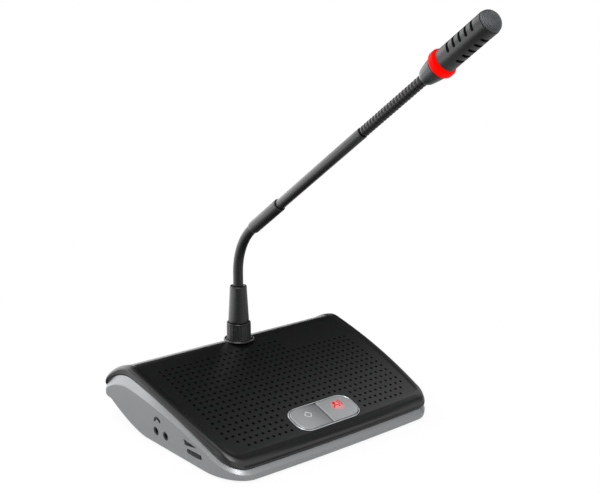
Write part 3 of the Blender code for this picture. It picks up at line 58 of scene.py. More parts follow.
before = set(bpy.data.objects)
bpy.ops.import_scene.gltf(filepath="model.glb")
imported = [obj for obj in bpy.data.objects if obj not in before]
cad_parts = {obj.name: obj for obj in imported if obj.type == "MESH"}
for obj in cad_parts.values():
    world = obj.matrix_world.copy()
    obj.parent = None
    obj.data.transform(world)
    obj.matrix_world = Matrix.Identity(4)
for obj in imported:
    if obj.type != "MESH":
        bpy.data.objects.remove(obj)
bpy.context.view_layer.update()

MM = 0.001
CLEARANCE = 0.3

# Casing in plan
BASE_HALF_WIDTH = 91.0
RIM_HALF_WIDTH = 95.0
RIM_TAPER = 7.6
RIM_TAPER_START = 105.0
RIM_TAPER_LENGTH = 95.0
RIM_TAPER_POWER = 2.2
FRONT_LEAN = 3.2
BASE_CORNER = (19.0, 30.0)
RIM_CORNER = (12.0, 14.0)
REAR_CORNER_RADIUS = 5.0
FRONT_BOW = 2.0

# Casing in side view: cubic curves through (Y, Z)
PANEL_CURVE = ((3.2, 13.5), (39.3, 27.0), (75.4, 38.4), (111.5, 47.0))
REAR_ROLL_CURVE = ((111.5, 47.0), (122.0, 46.6), (143.0, 36.5), (145.6, 25.0))
SPLIT_CURVE = ((0.6, 7.3), (20.0, 8.4), (58.0, 31.6), (114.0, 39.3))
SPLIT_REAR_CURVE = ((114.0, 39.3), (125.0, 39.9), (140.0, 33.0), (146.4, 24.0))
BAND_CURVE = ((0.0, 3.0), (30.0, 0.2), (70.0, 4.7), (114.0, 7.8))
BAND_REAR_CURVE = ((114.0, 7.8), (124.0, 7.4), (136.0, 6.2), (147.0, 4.0))
UNDERSIDE_CURVE = ((98.0, 0.0), (112.0, 1.2), (128.0, 8.0), (139.5, 16.0))
REAR_TIP_Y = 147.5
REAR_LIP_RISE = 0.8
RIM_RISE_FRONT = 0.3
RIM_RISE_REAR = 0.9
FRONT_ROLL = 1.55
RIM_SLOPE_WIDTH = 7.0
RIM_ROUND = 3.6
RIM_DROP = 0.8 * RIM_ROUND
WAIST = 2.2
WALL = 2.2
PANEL_THICKNESS = 2.4
BOTTOM_ROUND = 1.6
SPLIT_SHARE = 0.59
BAND_SHARE = 0.35
WALL_FOOT_SHARE = 0.1
REAR_EDGE_INSET = 1.2

# Perforation
FIRST_ROW_Y = 13.3
ROW_COUNT = 18
ROW_COLUMNS = (28, 30)
FULL_COLUMNS = 32
BUTTON_CLEAR = (29.0, 31.0)
BARE_CORNER = (24.0, 86.0)
STEM_CLEAR_RADIUS = 15.5
STEM_BORES = ((11.55, 0.0), (8.0, -8.0))

# Buttons
BUTTON_Y = 18.5
BUTTON_HALF_WIDTH = 26.2
BUTTON_HALF_LENGTH = 10.4
BUTTON_CORNER = 8.0
BUTTON_PROUD = 1.2
BEZEL_PROUD = 0.5
BEZEL_WIDTH = 1.0
ICON_OFFSET = 1.6
ICON_DEPTH = 0.6

# Left side and underside
JACK_Z = 10.4
JACK_YS = (82.5, 71.3)
WHEEL_SPOT = (39.5, 8.5)
WHEEL_SLOT = (7.85, 1.6, 1.55)
SCREW_SPOTS = ((80.0, 24.0), (80.0, 92.0))
FOOT_SPOTS = ((66.0, 12.0), (62.0, 86.6))
LINK_SOCKET_SPOT = (24.0, 129.0)
JACK_HOLE_RADIUS = 3.0
SCREW_HOLE_RADIUS = 3.0
FOOT_HOLE_RADIUS = 5.3
LINK_HOLE_RADIUS = 6.8
VOLUME_WEDGE = ((49.8, 15.7), (49.1, 12.5), (47.9, 12.1), (37.2, 13.5))

# Microphone
STEM_Y = 112.6
SOCKET_TOP_Z = 46.6
COLLAR_TOP_Z = 60.1
SLEEVE_TOP_Z = 87.3
LOWER_NECK_START_Z = 80.6
LOWER_NECK_STRAIGHT_Z = 97.0
LOWER_NECK_BEND_RADIUS = 44.4
ARM_ELEVATION = math.radians(35.3)
NECK_BEND = math.pi / 2 - ARM_ELEVATION
TUBE_END = 133.3
TUBE_START = 28.3
UPPER_NECK_LENGTH = 60.0
NECK_CORE = 2.4
CONE_LENGTH = 12.6
RING_LENGTH = 5.6
BARREL_LENGTH = 36.3
BARREL_RADIUS = 7.175
FIRST_SLOT = 9.6
SLOT_PITCH = 5.0
SLOT_REACH = math.radians(36.0)
CAP_HEIGHT = 5.1
CAP_RADIUS = 6.95

# Stage
FLOOR_HALF_WIDTH = 6000.0
CAMERA_SPOT = (-435.05, -469.92, 290.24)
CAMERA_TURN = (math.radians(90.0 - 13.51), 0.0, math.radians(-40.27))

HOUSING_LOW, HOUSING_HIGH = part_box("bottom_housing")
ORIGIN = Vector((0.0, HOUSING_HIGH[1] - REAR_TIP_Y * MM, HOUSING_LOW[2]))


def linear(colour):
    """Scene-linear RGBA of an sRGB hex value."""
    channels = [((colour >> shift) & 255) / 255 for shift in (16, 8, 0)]
    return (*(c / 12.92 if c <= 0.04045 else ((c + 0.055) / 1.055) ** 2.4 for c in channels), 1.0)


def length(name, description, millimetres):
    """Property for a length, with its default in millimetres."""
    return FloatProperty(
        name=name, description=description, default=millimetres * MM, min=0.0, precision=5, unit="LENGTH"
    )


def amount(name, description, value):
    """Property for a plain positive number."""
    return FloatProperty(name=name, description=description, default=value, min=0.0)


def colour(name, description, hex_value):
    """Property for a colour, with its default as an sRGB hex value."""
    return FloatVectorProperty(
        name=name, description=description, default=linear(hex_value), size=4, min=0, max=1, subtype="COLOR"
    )


class DelegateUnitCasing(bpy.types.PropertyGroup):
    """Sizes of the casing's finish."""

    hole_pitch: length("Hole pitch", "Distance between holes of the loudspeaker panel", 5.0)
    hole_radius: length("Hole radius", "Radius of one hole at the panel's surface", 1.12)
    hole_depth: length("Hole depth", "Depth of a blind hole in the panel", 1.4)
    button_crown: length("Button crown", "How far a button's middle swells above its edge", 0.4)
    button_dip: length("Button dip", "How far the left button sinks towards the right one", 0.75)
    button_edge: length("Button edge", "Radius of a button's upper edge", 0.8)
    print_height: length("Print height", "How far the printed signs stand off the wall", 0.14)


class DelegateUnitMicrophone(bpy.types.PropertyGroup):
    """Sizes of the microphone's finish."""

    collar_radius: length("Collar radius", "Radius of the fluted lock collar", 8.8)
    lower_neck_radius: length("Lower neck radius", "Radius of the smooth gooseneck", 3.65)
    upper_neck_radius: length("Upper neck radius", "Radius over the ribs of the upper gooseneck", 3.5)
    groove_radius: length("Groove radius", "Radius between the ribs of the upper gooseneck", 2.85)
    neck_ribs: IntProperty(name="Neck ribs", description="Ribs on the upper gooseneck", default=20, min=2)
    ring_radius: length("Light ring radius", "Radius of the red light ring", 8.65)
    slot_length: length("Slot length", "Width of a slot in the head, along the head", 1.9)
    wire_pitch: length("Wire pitch", "Distance between the mesh cap's wires, at twice the real size", 0.9)
    ring_glow: amount("Ring glow", "Brightness of the light ring", 0.95)
    icon_glow: amount("Icon glow", "Brightness of the lit button's icon", 1.0)


class DelegateUnitColours(bpy.types.PropertyGroup):
    """Base colours of the unit's materials."""

    cover: colour("Cover", "Black moulded cover", 0x0A0B0C)
    housing: colour("Housing", "Silver painted housing", 0x929496)
    buttons: colour("Buttons", "Silver grey buttons", 0xA3A5A7)
    metal: colour("Black metal", "Glossy black metal of the stem", 0x101112)
    head: colour("Head", "Satin black metal of the head", 0x151618)
    cone: colour("Cone", "Dark grey metal of the head's cone", 0x2A2C2E)
    mesh: colour("Wire mesh", "Lacquered wire mesh of the head's cap", 0x4A4C50)
    sheath: colour("Neck sheath", "Black sheath of the goosenecks", 0x101111)
    light: colour("Light", "Red light of the ring and the icon", 0xFF0600)


class DelegateUnitStage(bpy.types.PropertyGroup):
    """Camera and lamps."""

    lens: FloatProperty(name="Lens", description="Camera's focal length in mm", default=62.6, min=1.0)
    room: amount("Room light", "Even light from the surroundings on matt surfaces", 0.58)
    key: amount("Key lamp", "Power of the large lamp above the front left", 9.0)
    rear: amount("Rear lamp", "Power of the large lamp behind the unit", 9.0)
    corner: amount("Corner lamp", "Power of the small lamp at the front left", 2.7)


class DelegateUnitSettings(bpy.types.PropertyGroup):
    """All settings of the unit."""

    casing: PointerProperty(type=DelegateUnitCasing)
    microphone: PointerProperty(type=DelegateUnitMicrophone)
    colours: PointerProperty(type=DelegateUnitColours)
    stage: PointerProperty(type=DelegateUnitStage)


# Curves of the casing


def mix(low, high, share):
    """Value that lies a share of the way from low to high."""
    return low + (high - low) * share


def bezier(points, share):
    """Point on the cubic curve with these four control points."""
    a, b, c, d = (Vector(point) for point in points)
    rest = 1.0 - share
    return a * rest**3 + b * 3 * rest**2 * share + c * 3 * rest * share**2 + d * share**3


def height_on(y, points, rear_points=None):
    """Height at y on a curve that only runs rearward, or behind its end on the next one."""
    if rear_points and y > points[-1][0]:
        points = rear_points
    low, high = 0.0, 1.0
    for _ in range(30):
        middle = (low + high) / 2
        if bezier(points, middle).x < y:
            low = middle
        else:
            high = middle
    return bezier(points, high).y


def panel_height(y):
    """Top surface in the middle of the unit."""
    return height_on(y, PANEL_CURVE, REAR_ROLL_CURVE)


def rim_height(y):
    """Raised rim at the sides, which dips into a roll at the front corners."""
    front_y, crest_y, rear_y = PANEL_CURVE[0][0], PANEL_CURVE[-1][0], REAR_ROLL_CURVE[-1][0]
    corner_y = FRONT_LEAN + RIM_CORNER[1]
    if y <= crest_y:
        rise = mix(RIM_RISE_FRONT, RIM_RISE_REAR, (y - front_y) / (crest_y - front_y))
    else:
        behind = min(1.0, (y - crest_y) / (rear_y - crest_y))
        rise = RIM_RISE_REAR * math.sqrt(1.0 - behind**2)
    dip = min(1.0, max(0.0, (corner_y - y) / (corner_y - front_y)))
    return panel_height(y) + rise - FRONT_ROLL * dip**2


def split_height(y):
    """Parting line between the cover and the housing."""
    return height_on(y, SPLIT_CURVE, SPLIT_REAR_CURVE)


def band_height(y):
    """Lower edge of the bevelled band under the parting line."""
    return split_height(y) - height_on(y, BAND_CURVE, BAND_REAR_CURVE)


def underside_height(y):
    """Flat underside, which curves up to a lip at the rear."""
    lip_y, lip_z = UNDERSIDE_CURVE[-1]
    if y <= UNDERSIDE_CURVE[0][0]:
        return 0.0
    if y <= lip_y:
        return height_on(y, UNDERSIDE_CURVE)
    return lip_z + REAR_LIP_RISE * (y - lip_y) / (REAR_TIP_Y - lip_y)


def housing_top(y):
    """Housing's edge under the parting line."""
    return split_height(y) - CLEARANCE / 2


def cover_edge(y):
    """Cover's edge over the parting line."""
    return split_height(y) + CLEARANCE / 2


def cover_shoulder(y):
    """Top of the cover's side wall, under its rounded rim."""
    return rim_height(y) - RIM_DROP


def wall_foot(y):
    """Foot of the housing's wall, over its rounded lower edge."""
    return underside_height(y) + BOTTOM_ROUND


def wall_half_width(y, z):
    """Half width of the side wall, which leans from the base to the rim."""
    narrowing = max(0.0, (RIM_TAPER_START - y) / RIM_TAPER_LENGTH) ** RIM_TAPER_POWER
    rim = RIM_HALF_WIDTH - RIM_TAPER * narrowing
    return mix(BASE_HALF_WIDTH, rim, z / rim_height(y))


def between(first, second, share):
    """Height function that lies a share of the way from one to another."""
    return lambda y: mix(first(y), second(y), share)


def ring(height, share, inset, rear_y, lift=0.0, shell=0.0, steps=40, corner_steps=14, front_steps=6):
    """Ring of points round the casing, from the rear left forward and back on the right.

    height gives Z at Y. share is 0 at the base and 1 at the rim. inset narrows the ring
    before the height is read, and shell moves it in afterwards, to make a wall.
    """
    corner_x = mix(BASE_CORNER[0], RIM_CORNER[0], share)
    corner_y = mix(BASE_CORNER[1], RIM_CORNER[1], share)
    centre_y = FRONT_LEAN * share**3 + corner_y
    left = []
    for step in range(steps + 1):
        station = math.cos(math.pi / 2 * (step / steps) ** 0.85)
        y = mix(centre_y, rear_y, station)
        z = height(y)
        past = min(REAR_CORNER_RADIUS, max(0.0, y - rear_y + REAR_CORNER_RADIUS))
        rounding = REAR_CORNER_RADIUS - math.sqrt(REAR_CORNER_RADIUS**2 - past**2)
        x = wall_half_width(y, z) - rounding - inset - shell
        left.append((x, mix(centre_y, rear_y - shell, station), z + lift))
    half = left[-1][0]
    centre_x = wall_half_width(centre_y, height(centre_y)) - corner_x
    front = []
    for step in range(1, corner_steps + 1):
        angle = math.pi / 2 * step / corner_steps
        front.append((centre_x + (corner_x - inset - shell) * math.cos(angle), math.sin(angle)))
    for step in range(front_steps, 0, -1):
        front.append((centre_x * step / (front_steps + 1), 1.0))
    for x, forward in front:
        bow = FRONT_BOW * (1.0 - (x / half) ** 2)
        z = height(centre_y - (corner_y - inset) * forward - bow)
        left.append((x, centre_y - (corner_y - inset - shell) * forward - bow, z + lift))
    return [(-x, y, z) for x, y, z in left] + list(reversed(left))


# Meshes


def finished(bm):
    """Smooth mesh in metres, with its faces pointing out, from a bmesh in millimetres."""
    bmesh.ops.recalc_face_normals(bm, faces=bm.faces)
    bmesh.ops.scale(bm, vec=(MM, MM, MM), verts=bm.verts)
    mesh = bpy.data.meshes.new("shape")
    bm.to_mesh(mesh)
    bm.free()
    mesh.shade_smooth()
    return mesh


def add_skin(bm, rings, ends):
    """Skin over rings of equal count, with ends of strips across, one face each, or joined up."""
    rows = [[bm.verts.new(point) for point in points] for points in rings]
    count = len(rows[0])
    for row, following in zip(rows, rows[1:] + rows[:1] if ends == "joined" else rows[1:]):
        for i in range(count):
            j = (i + 1) % count
            bm.faces.new((row[i], row[j], following[j], following[i]))
    for row in (rows[0], rows[-1]):
        if ends == "faces":
            bm.faces.new(row)
        if ends == "strips":
            for i in range(count // 2 - 1):
                bm.faces.new((row[i], row[i + 1], row[count - 2 - i], row[count - 1 - i]))


def loft(rings, ends="strips"):
    """Mesh of a skin over rings."""
    bm = bmesh.new()
    add_skin(bm, rings, ends)
    return finished(bm)


def plates(low, high, *outlines):
    """Plates between two heights from one or more outlines, as one mesh."""
    bm = bmesh.new()
    for outline in outlines:
        add_skin(bm, [[(x, y, z) for x, y in outline] for z in (low, high)], "faces")
    return finished(bm)


def softened(profile, radius, closed=True, steps=3):
    """Profile with its corners rounded by as much as their sides allow."""
    points = [Vector(point) for point in profile]
    count = len(points)
    soft = []
    for i, point in enumerate(points):
        if not closed and i in (0, count - 1):
            soft.append(tuple(point))
            continue
        before, after = points[i - 1], points[(i + 1) % count]
        reach = min(radius, 0.45 * (before - point).length, 0.45 * (after - point).length)
        start = point + (before - point).normalized() * reach
        end = point + (after - point).normalized() * reach
        for step in range(steps + 1):
            share = step / steps
            soft.append(tuple(start * (1 - share) ** 2 + point * 2 * share * (1 - share) + end * share**2))
    return soft


def turned(profile, steps=64, radius=0.25, closed=True, flutes=None):
    """Mesh turned about Z from (radius, height) points, with rounded corners.

    An open profile starts and ends on the axis. flutes gives how many hollows run down the
    outside, their depth, and the least radius and the heights between which they run. The
    mesh's UV map holds the share of a turn and the way along the profile in millimetres.
    """
    bm = bmesh.new()
    layer = bm.loops.layers.uv.new("turned")
    soft = softened(profile, radius, closed) if radius else list(profile)
    if closed:
        soft.append(soft[0])
    rows, along = [], 0.0
    for index, (r, z) in enumerate(soft):
        if index:
            along += math.dist(soft[index - 1], (r, z))
        if closed and index == len(soft) - 1:
            rows.append((rows[0][0], along))
            continue
        verts = []
        for step in range(steps if r > 1e-6 else 1):
            angle = 2 * math.pi * step / steps
            reach = r
            if flutes and flutes[3] < z < flutes[4] and r > flutes[2]:
                reach -= flutes[1] * (0.5 + 0.5 * math.cos(flutes[0] * angle)) ** 2
            verts.append(bm.verts.new((reach * math.cos(angle), reach * math.sin(angle), z)))
        rows.append((verts, along))
    for (row, low), (following, high) in zip(rows, rows[1:]):
        for i in range(steps):
            j = i + 1
            corners = {}
            square = ((row, i, low), (row, j, low), (following, j, high), (following, i, high))
            for verts, column, way in square:
                corners.setdefault(verts[column % len(verts)], (column / steps, way))
            face = bm.faces.new(list(corners))
            for loop in face.loops:
                loop[layer].uv = corners[loop.vert]
    return finished(bm)


def swept(centres, radii, sides=32):
    """Round tube along points in the unit's middle plane, each with its own radius."""
    points = [Vector((0.0, y, z)) for y, z in centres]
    rings = []
    for i, point in enumerate(points):
        ahead = points[min(i + 1, len(points) - 1)] - points[max(i - 1, 0)]
        up = ahead.normalized().cross(Vector((1.0, 0.0, 0.0)))
        around = []
        for side in range(sides):
            angle = 2 * math.pi * side / sides
            offset = Vector((math.cos(angle), 0.0, 0.0)) + up * math.sin(angle)
            around.append(point + offset * radii[i])
        rings.append(around)
    return loft(rings, "faces")


def rounded_outline(low, high, radii, steps=8):
    """Rectangle with its own radius at each corner, from the low corner, anticlockwise."""
    (x0, y0), (x1, y1) = low, high
    corners = ((x0, y0, 180.0), (x1, y0, 270.0), (x1, y1, 0.0), (x0, y1, 90.0))
    points = []
    for (x, y, start), radius in zip(corners, radii):
        centre_x = x + math.copysign(radius, x0 + x1 - 2 * x)
        centre_y = y + math.copysign(radius, y0 + y1 - 2 * y)
        for step in range(steps + 1):
            angle = math.radians(start + 90.0 * step / steps)
            points.append((centre_x + radius * math.cos(angle), centre_y + radius * math.sin(angle)))
    return points


def even_outline(half_width, half_length, radius, steps=8):
    """Rectangle about the origin with equal corner radii."""
    return rounded_outline((-half_width, -half_length), (half_width, half_length), (radius,) * 4, steps)


def dense(outline, step=1.2):
    """Outline with points added along its long sides."""
    points = []
    for (x0, y0), (x1, y1) in zip(outline, outline[1:] + outline[:1]):
        count = max(1, int(math.hypot(x1 - x0, y1 - y0) / step))
        points += [(mix(x0, x1, i / count), mix(y0, y1, i / count)) for i in range(count)]
    return points


def capped(outline, low, edge, top):
    """Button cap from an outline: walls, a rounded upper edge and a top at height top(x, y)."""
    middle = sum((Vector(point) for point in outline), Vector((0.0, 0.0))) / len(outline)

    def drawn_in(share, inset, drop):
        loop = []
        for point in outline:
            offset = Vector(point) - middle
            place = middle + (offset - offset.normalized() * inset) * share
            loop.append((place.x, place.y, top(place.x, place.y) - drop))
        return loop

    rings = [[(x, y, low) for x, y in outline]]
    for step in range(5):
        angle = math.pi / 2 * step / 4
        rings.append(drawn_in(1.0, edge * (1.0 - math.cos(angle)), edge * (1.0 - math.sin(angle))))
    for share in (0.9, 0.8, 0.7, 0.6, 0.5, 0.4, 0.3, 0.2, 0.1, 0.03):
        rings.append(drawn_in(share, edge, 0.0))
    return loft(rings, "faces")


def add_cylinder(bm, radius, low, high, place, sides=24, top_radius=None):
    """Closed cylinder or cone along the place's Z axis."""
    local = Matrix.Translation(in_millimetres(place)) @ place.to_3x3().to_4x4()
    bmesh.ops.create_cone(
        bm,
        cap_ends=True,
        segments=sides,
        radius1=radius,
        radius2=radius if top_radius is None else top_radius,
        depth=high - low,
        matrix=local @ Matrix.Translation((0.0, 0.0, (low + high) / 2)),
    )


def arc(radius, start, end, count, centre=(0.0, 0.0)):
    """Points on part of a circle, between two angles in degrees."""
    angles = [math.radians(mix(start, end, step / count)) for step in range(count + 1)]
    return [(centre[0] + radius * math.cos(a), centre[1] + radius * math.sin(a)) for a in angles]


def stroke(radius, width, start, end, count, centre=(0.0, 0.0)):
    """Outline of a bent stroke of even width."""
    outer, inner = radius + width / 2, radius - width / 2
    return arc(outer, start, end, count, centre) + arc(inner, end, start, count, centre)


# Places


def at(x, y, z, turn=None):
    """Place in metres from a point in millimetres and a turn."""
    return Matrix.Translation(ORIGIN + Vector((x, y, z)) * MM) @ (turn or Matrix.Identity(4))


def in_millimetres(place):
    """Point of a place, in the millimetres of the shape functions."""
    return (place.to_translation() - ORIGIN) / MM


def rotation(degrees, axis):
    """Rotation about an axis."""
    return Matrix.Rotation(math.radians(degrees), 4, axis)


def on_slope(height, x, y, over=0.0):
    """Place on a surface given by height(y), with its Z axis square to it, turned over by some degrees."""
    slope = over + math.degrees(math.atan(height(y + 0.5) - height(y - 0.5)))
    return at(x, y, height(y), rotation(slope, "X"))


def on_panel(x, y):
    """Place on the panel."""
    return on_slope(panel_height, x, y)


def on_stem(z=0.0):
    """Place on the stem's upright axis."""
    return at(0.0, STEM_Y, z)


def on_neck(angle):
    """(y, z) on the lower gooseneck's bend, an angle from its start."""
    y = STEM_Y - LOWER_NECK_BEND_RADIUS * (1.0 - math.cos(angle))
    return y, LOWER_NECK_STRAIGHT_Z + LOWER_NECK_BEND_RADIUS * math.sin(angle)


def on_arm(distance):
    """Place on the arm's axis, which its Z axis follows."""
    y, z = on_neck(NECK_BEND)
    y -= distance * math.cos(ARM_ELEVATION)
    z += distance * math.sin(ARM_ELEVATION)
    return at(0.0, y, z, Matrix.Rotation(NECK_BEND, 4, "X"))


def add_object(name, data):
    """New object in the scene, at the origin."""
    added = bpy.data.objects.new(name, data)
    bpy.context.scene.collection.objects.link(added)
    return added


def add_piece(name, mesh, material, place=None, body=None, node=None):
    """Piece with its place in its mesh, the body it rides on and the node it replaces."""
    mesh.name = name
    mesh.transform(place or at(0.0, 0.0, 0.0))
    mesh.materials.append(material)
    piece = add_object(name, mesh)
    if body:
        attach(piece, body)
    if node:
        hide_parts(node)
    return piece


def cut(piece, mesh, place=None):
    """Cut a mesh from a piece and apply the result."""
    mesh.transform(place or at(0.0, 0.0, 0.0))
    cutter = add_object("cutter", mesh)
    boolean = piece.modifiers.new("Cut", "BOOLEAN")
    boolean.operation = "DIFFERENCE"
    boolean.solver = "EXACT"
    boolean.object = cutter
    bpy.context.view_layer.update()
    graph = bpy.context.evaluated_depsgraph_get()
    result = bpy.data.meshes.new_from_object(piece.evaluated_get(graph))
    material = piece.data.materials[0]
    piece.modifiers.remove(boolean)
    piece.data = result
    result.materials.clear()
    result.materials.append(material)
    bpy.data.objects.remove(cutter)


def sharpen(piece, degrees):
    """Smooth shading that breaks at edges steeper than an angle."""
    piece.data.shade_smooth()
    piece.data.set_sharp_from_angle(angle=math.radians(degrees))


# Materials


class Look:
    """Nodes of a material or a world, with the material's shader."""

    def __init__(self, owner):
        owner.use_nodes = True
        self.owner, self.nodes, self.links = owner, owner.node_tree.nodes, owner.node_tree.links
        self.shader = self.nodes.get("Principled BSDF")

    def add(self, kind, inputs=None, **options):
        """Add a node with its options, and set or link its inputs by name or number."""
        added = self.nodes.new("ShaderNode" + kind)
        for key, value in options.items():
            setattr(added, key, value)
        for key, value in (inputs or {}).items():
            if isinstance(value, bpy.types.Node):
                value = value.outputs[0]
            if isinstance(value, bpy.types.NodeSocket):
                self.links.new(value, added.inputs[key])
            else:
                added.inputs[key].default_value = value
        return added

    def feed(self, socket, node):
        """Link a node's first output to one of the shader's sockets."""
        self.links.new(node.outputs[0], self.shader.inputs[socket])

    def spread(self, value, low, high, start=0.0, end=1.0, **options):
        """Map a value from one range to another."""
        inputs = {"Value": value, "From Min": start, "From Max": end, "To Min": low, "To Max": high}
        return self.add("MapRange", inputs, **options)

    def eased(self, value, low, high, start, end):
        """Map a value from one range to another, with soft ends."""
        return self.spread(value, low, high, start, end, interpolation_type="SMOOTHSTEP")

    def calc(self, operation, *values):
        """Arithmetic on one or two values."""
        return self.add("Math", dict(enumerate(values)), operation=operation)

    def measure(self, operation, *vectors):
        """Number worked out from one or two vectors."""
        return self.add("VectorMath", dict(enumerate(vectors)), operation=operation).outputs["Value"]

    def axes(self, vector):
        """X, Y and Z of a vector."""
        return self.add("SeparateXYZ", {0: vector}).outputs

    def coordinates(self, kind):
        """Texture coordinates of a kind."""
        return self.add("TexCoord").outputs[kind]

    def millimetres(self):
        """The piece's own coordinates, in millimetres."""
        return self.add("VectorMath", {0: self.coordinates("Object"), "Scale": 1000.0}, operation="SCALE")

    def tone(self, base, value, low, high, start=0.0, end=1.0):
        """Lighten and darken the base colour with a value."""
        level = self.spread(value, low, high, start, end)
        self.feed("Base Color", self.add("HueSaturation", {"Color": base, "Value": level}))

    def bump(self, height, depth, **options):
        """Relief of a depth in millimetres."""
        self.feed("Normal", self.add("Bump", {"Height": height, "Distance": depth * MM}, **options))

    def dull(self, value, low, high):
        """Roughness between two levels."""
        self.feed("Roughness", self.spread(value, low, high, 0.3, 0.7))

    def grain(self, size, depth, low, high, stretch=(1.0, 1.0, 1.0)):
        """Fine grain of a size and depth in millimetres, as bump and as changes of roughness."""
        place = self.millimetres()
        mapping = self.add("Mapping", {"Vector": place, "Scale": stretch})
        noise = self.add("TexNoise", {"Vector": mapping, "Scale": 1.0 / size, "Detail": 3.0})
        self.bump(noise, depth)
        self.dull(noise, low, high)
        return place, noise

    def emit(self, colour, strength):
        """Light from the surface itself."""
        self.shader.inputs["Emission Color"].default_value = colour
        self.feed("Emission Strength", strength)


def new_look(name, base, roughness, metallic=0.0, **sockets):
    """Look of a new material, whose even values sit on the shader's sockets."""
    look = Look(bpy.data.materials.new(name))
    sockets.update({"Base Color": base, "Roughness": roughness, "Metallic": metallic})
    for key, value in sockets.items():
        look.shader.inputs[key.replace("_", " ")].default_value = value
    look.owner.diffuse_color = base
    return look


def grained(name, base, size, depth, low, high, metallic=0.0, tone=0.0, stretch=(1.0, 1.0, 1.0), **sockets):
    """Surface with a fine grain and roughness between two levels, with tones that vary by a share."""
    look = new_look(name, base, (low + high) / 2, metallic, **sockets)
    _, noise = look.grain(size, depth, low, high, stretch)
    if tone:
        look.tone(base, noise, 1.0 - tone, 1.0 + tone, 0.3, 0.7)
    return look.owner


def moulded_plastic(name, base, size=0.35, depth=0.006, low=0.3, high=0.38, level=0.5):
    """Spark-eroded ABS or nylon: a fine even grain gives a soft sheen, and moulding leaves cloudy tones."""
    look = new_look(name, base, (low + high) / 2, IOR=1.5, Specular_IOR_Level=level)
    place, _ = look.grain(size, depth, low, high)
    clouds = look.add("TexNoise", {"Vector": place, "Scale": 1.0 / 18.0, "Detail": 2.0})
    look.tone(base, clouds, 0.88, 1.12)
    return look.owner


def metallic_paint(name, base):
    """Silver metallic paint on ABS: flakes of 0.25 mm sparkle under a satin coat."""
    look = new_look(name, base, 0.32, 0.6, Coat_Weight=0.2, Coat_Roughness=0.2)
    place, _ = look.grain(0.25, 0.003, 0.27, 0.36)
    flakes = look.add("TexVoronoi", {"Vector": place, "Scale": 1.0 / 0.25})
    look.tone(base, flakes, 1.07, 0.92)
    return look.owner


def lacquered_metal(name, base, low=0.3, high=0.4, metallic=0.0):
    """Baked lacquer on turned metal: glossy, with turning marks 0.15 mm apart faintly seen through it."""
    look = new_look(name, base, (low + high) / 2, metallic, IOR=1.5, Specular_IOR_Level=0.65)
    way = look.axes(look.coordinates("UV"))["Y"]
    marks = look.add("TexNoise", {"W": way, "Scale": 6.0, "Detail": 2.0}, noise_dimensions="1D")
    look.dull(marks, low, high)
    look.bump(marks, 0.0008)
    look.tone(base, marks, 0.92, 1.08, 0.3, 0.7)
    return look.owner


def woven_mesh(name, base, pitch, radius):
    """Woven steel wire under dark lacquer: raised wires round square openings."""
    look = new_look(name, base, 0.36, 0.45)
    way = look.axes(look.coordinates("UV"))
    wires = round(2 * math.pi * radius / pitch)
    across, along = (
        look.calc("ABSOLUTE", look.calc("SINE", look.calc("MULTIPLY", way[axis], math.pi * rate)))
        for axis, rate in (("X", wires), ("Y", 1.0 / pitch))
    )
    openings = look.calc("MULTIPLY", across, along)
    look.tone(base, openings, 1.25, 0.35, 0.35, 0.85)
    look.bump(openings, 0.15, invert=True)
    return look.owner


def circuit_board(name, base):
    """Green solder mask over glass-fibre weave, with raised copper tracks about 4 mm apart."""
    look = new_look(name, base, 0.3, Coat_Weight=0.4)
    tones = {"Color1": base, "Color2": linear(0x2A6E45), "Mortar": linear(0x174A2B), "Mortar Size": 0.04}
    tracks = look.add("TexBrick", {"Vector": look.millimetres(), "Scale": 0.25, **tones})
    look.feed("Base Color", tracks)
    look.bump(tracks.outputs["Fac"], 0.035)
    return look.owner


def pored(name, base, pore, depth):
    """Open-cell foam or pressed paper: dull, with pores of a size in millimetres."""
    look = new_look(name, base, 0.95, Specular_IOR_Level=0.15)
    cells = look.add("TexVoronoi", {"Vector": look.millimetres(), "Scale": 1.0 / pore})
    look.bump(cells, depth)
    look.tone(base, cells, 0.6, 1.3)
    return look.owner


def lit_plastic(name, base, glow):
    """Red polycarbonate lit from inside: a little cloudy, with painted shade where it is seen edge on."""
    look = new_look(name, linear(0x4A0200), 0.5, Specular_IOR_Level=0.15, Specular_Tint=base)
    clouds = look.add("TexNoise", {"Vector": look.millimetres(), "Scale": 0.4, "Detail": 1.0})
    facing = look.add("LayerWeight", {"Blend": 0.3}).outputs["Facing"]
    # Painted shade: the glow falls to 0.45 of its strength where the surface is seen edge on.
    edge = look.spread(facing, 1.0, 0.45, 0.2, 0.9)
    look.emit(base, look.calc("MULTIPLY", edge, look.spread(clouds, 0.92 * glow, glow, 0.3, 0.7)))
    return look.owner


def painted_button(name, base, light=None, glow=0.0, centre=None):
    """Satin silver paint on an ABS cap: a painted glow round a lit icon, or else painted shade that darkens
    it to the right.
    """
    look = new_look(name, base, 0.36, 0.4, Coat_Weight=0.15, Coat_Roughness=0.25)
    place, noise = look.grain(0.25, 0.003, 0.3, 0.4)
    if centre:
        look.tone(base, noise, 0.96, 1.04, 0.3, 0.7)
        # Painted glow: the paint itself gives off the icon's red light, fading out 6.4 mm from the icon's
        # middle.
        look.emit(light, look.eased(look.measure("DISTANCE", place, centre), glow, 0.0, 1.0, 6.4))
    else:
        # Painted shade: the left button's paint darkens towards the split between the buttons, with a faint
        # grain tone mixed in.
        painted_shade = look.eased(look.axes(place)["X"], 0.0, 1.0, -22.0, 2.0)
        look.tone(base, look.calc("ADD", painted_shade, look.calc("MULTIPLY", noise, 0.05)), 1.03, 0.55)
    return look.owner


def printed_ink(name, hex_value):
    """Pad-printed ink: thin, dull and slightly uneven."""
    return grained(name, linear(hex_value), 0.3, 0.003, 0.42, 0.58, tone=0.15, Specular_IOR_Level=0.25)


# Pieces


def add_turned(name, profile, material, place, body, node, slot, *shape):
    """Turned piece on a body, which stands for a node."""
    return add_piece(name, turned(profile, *shape), material, place, body, node)


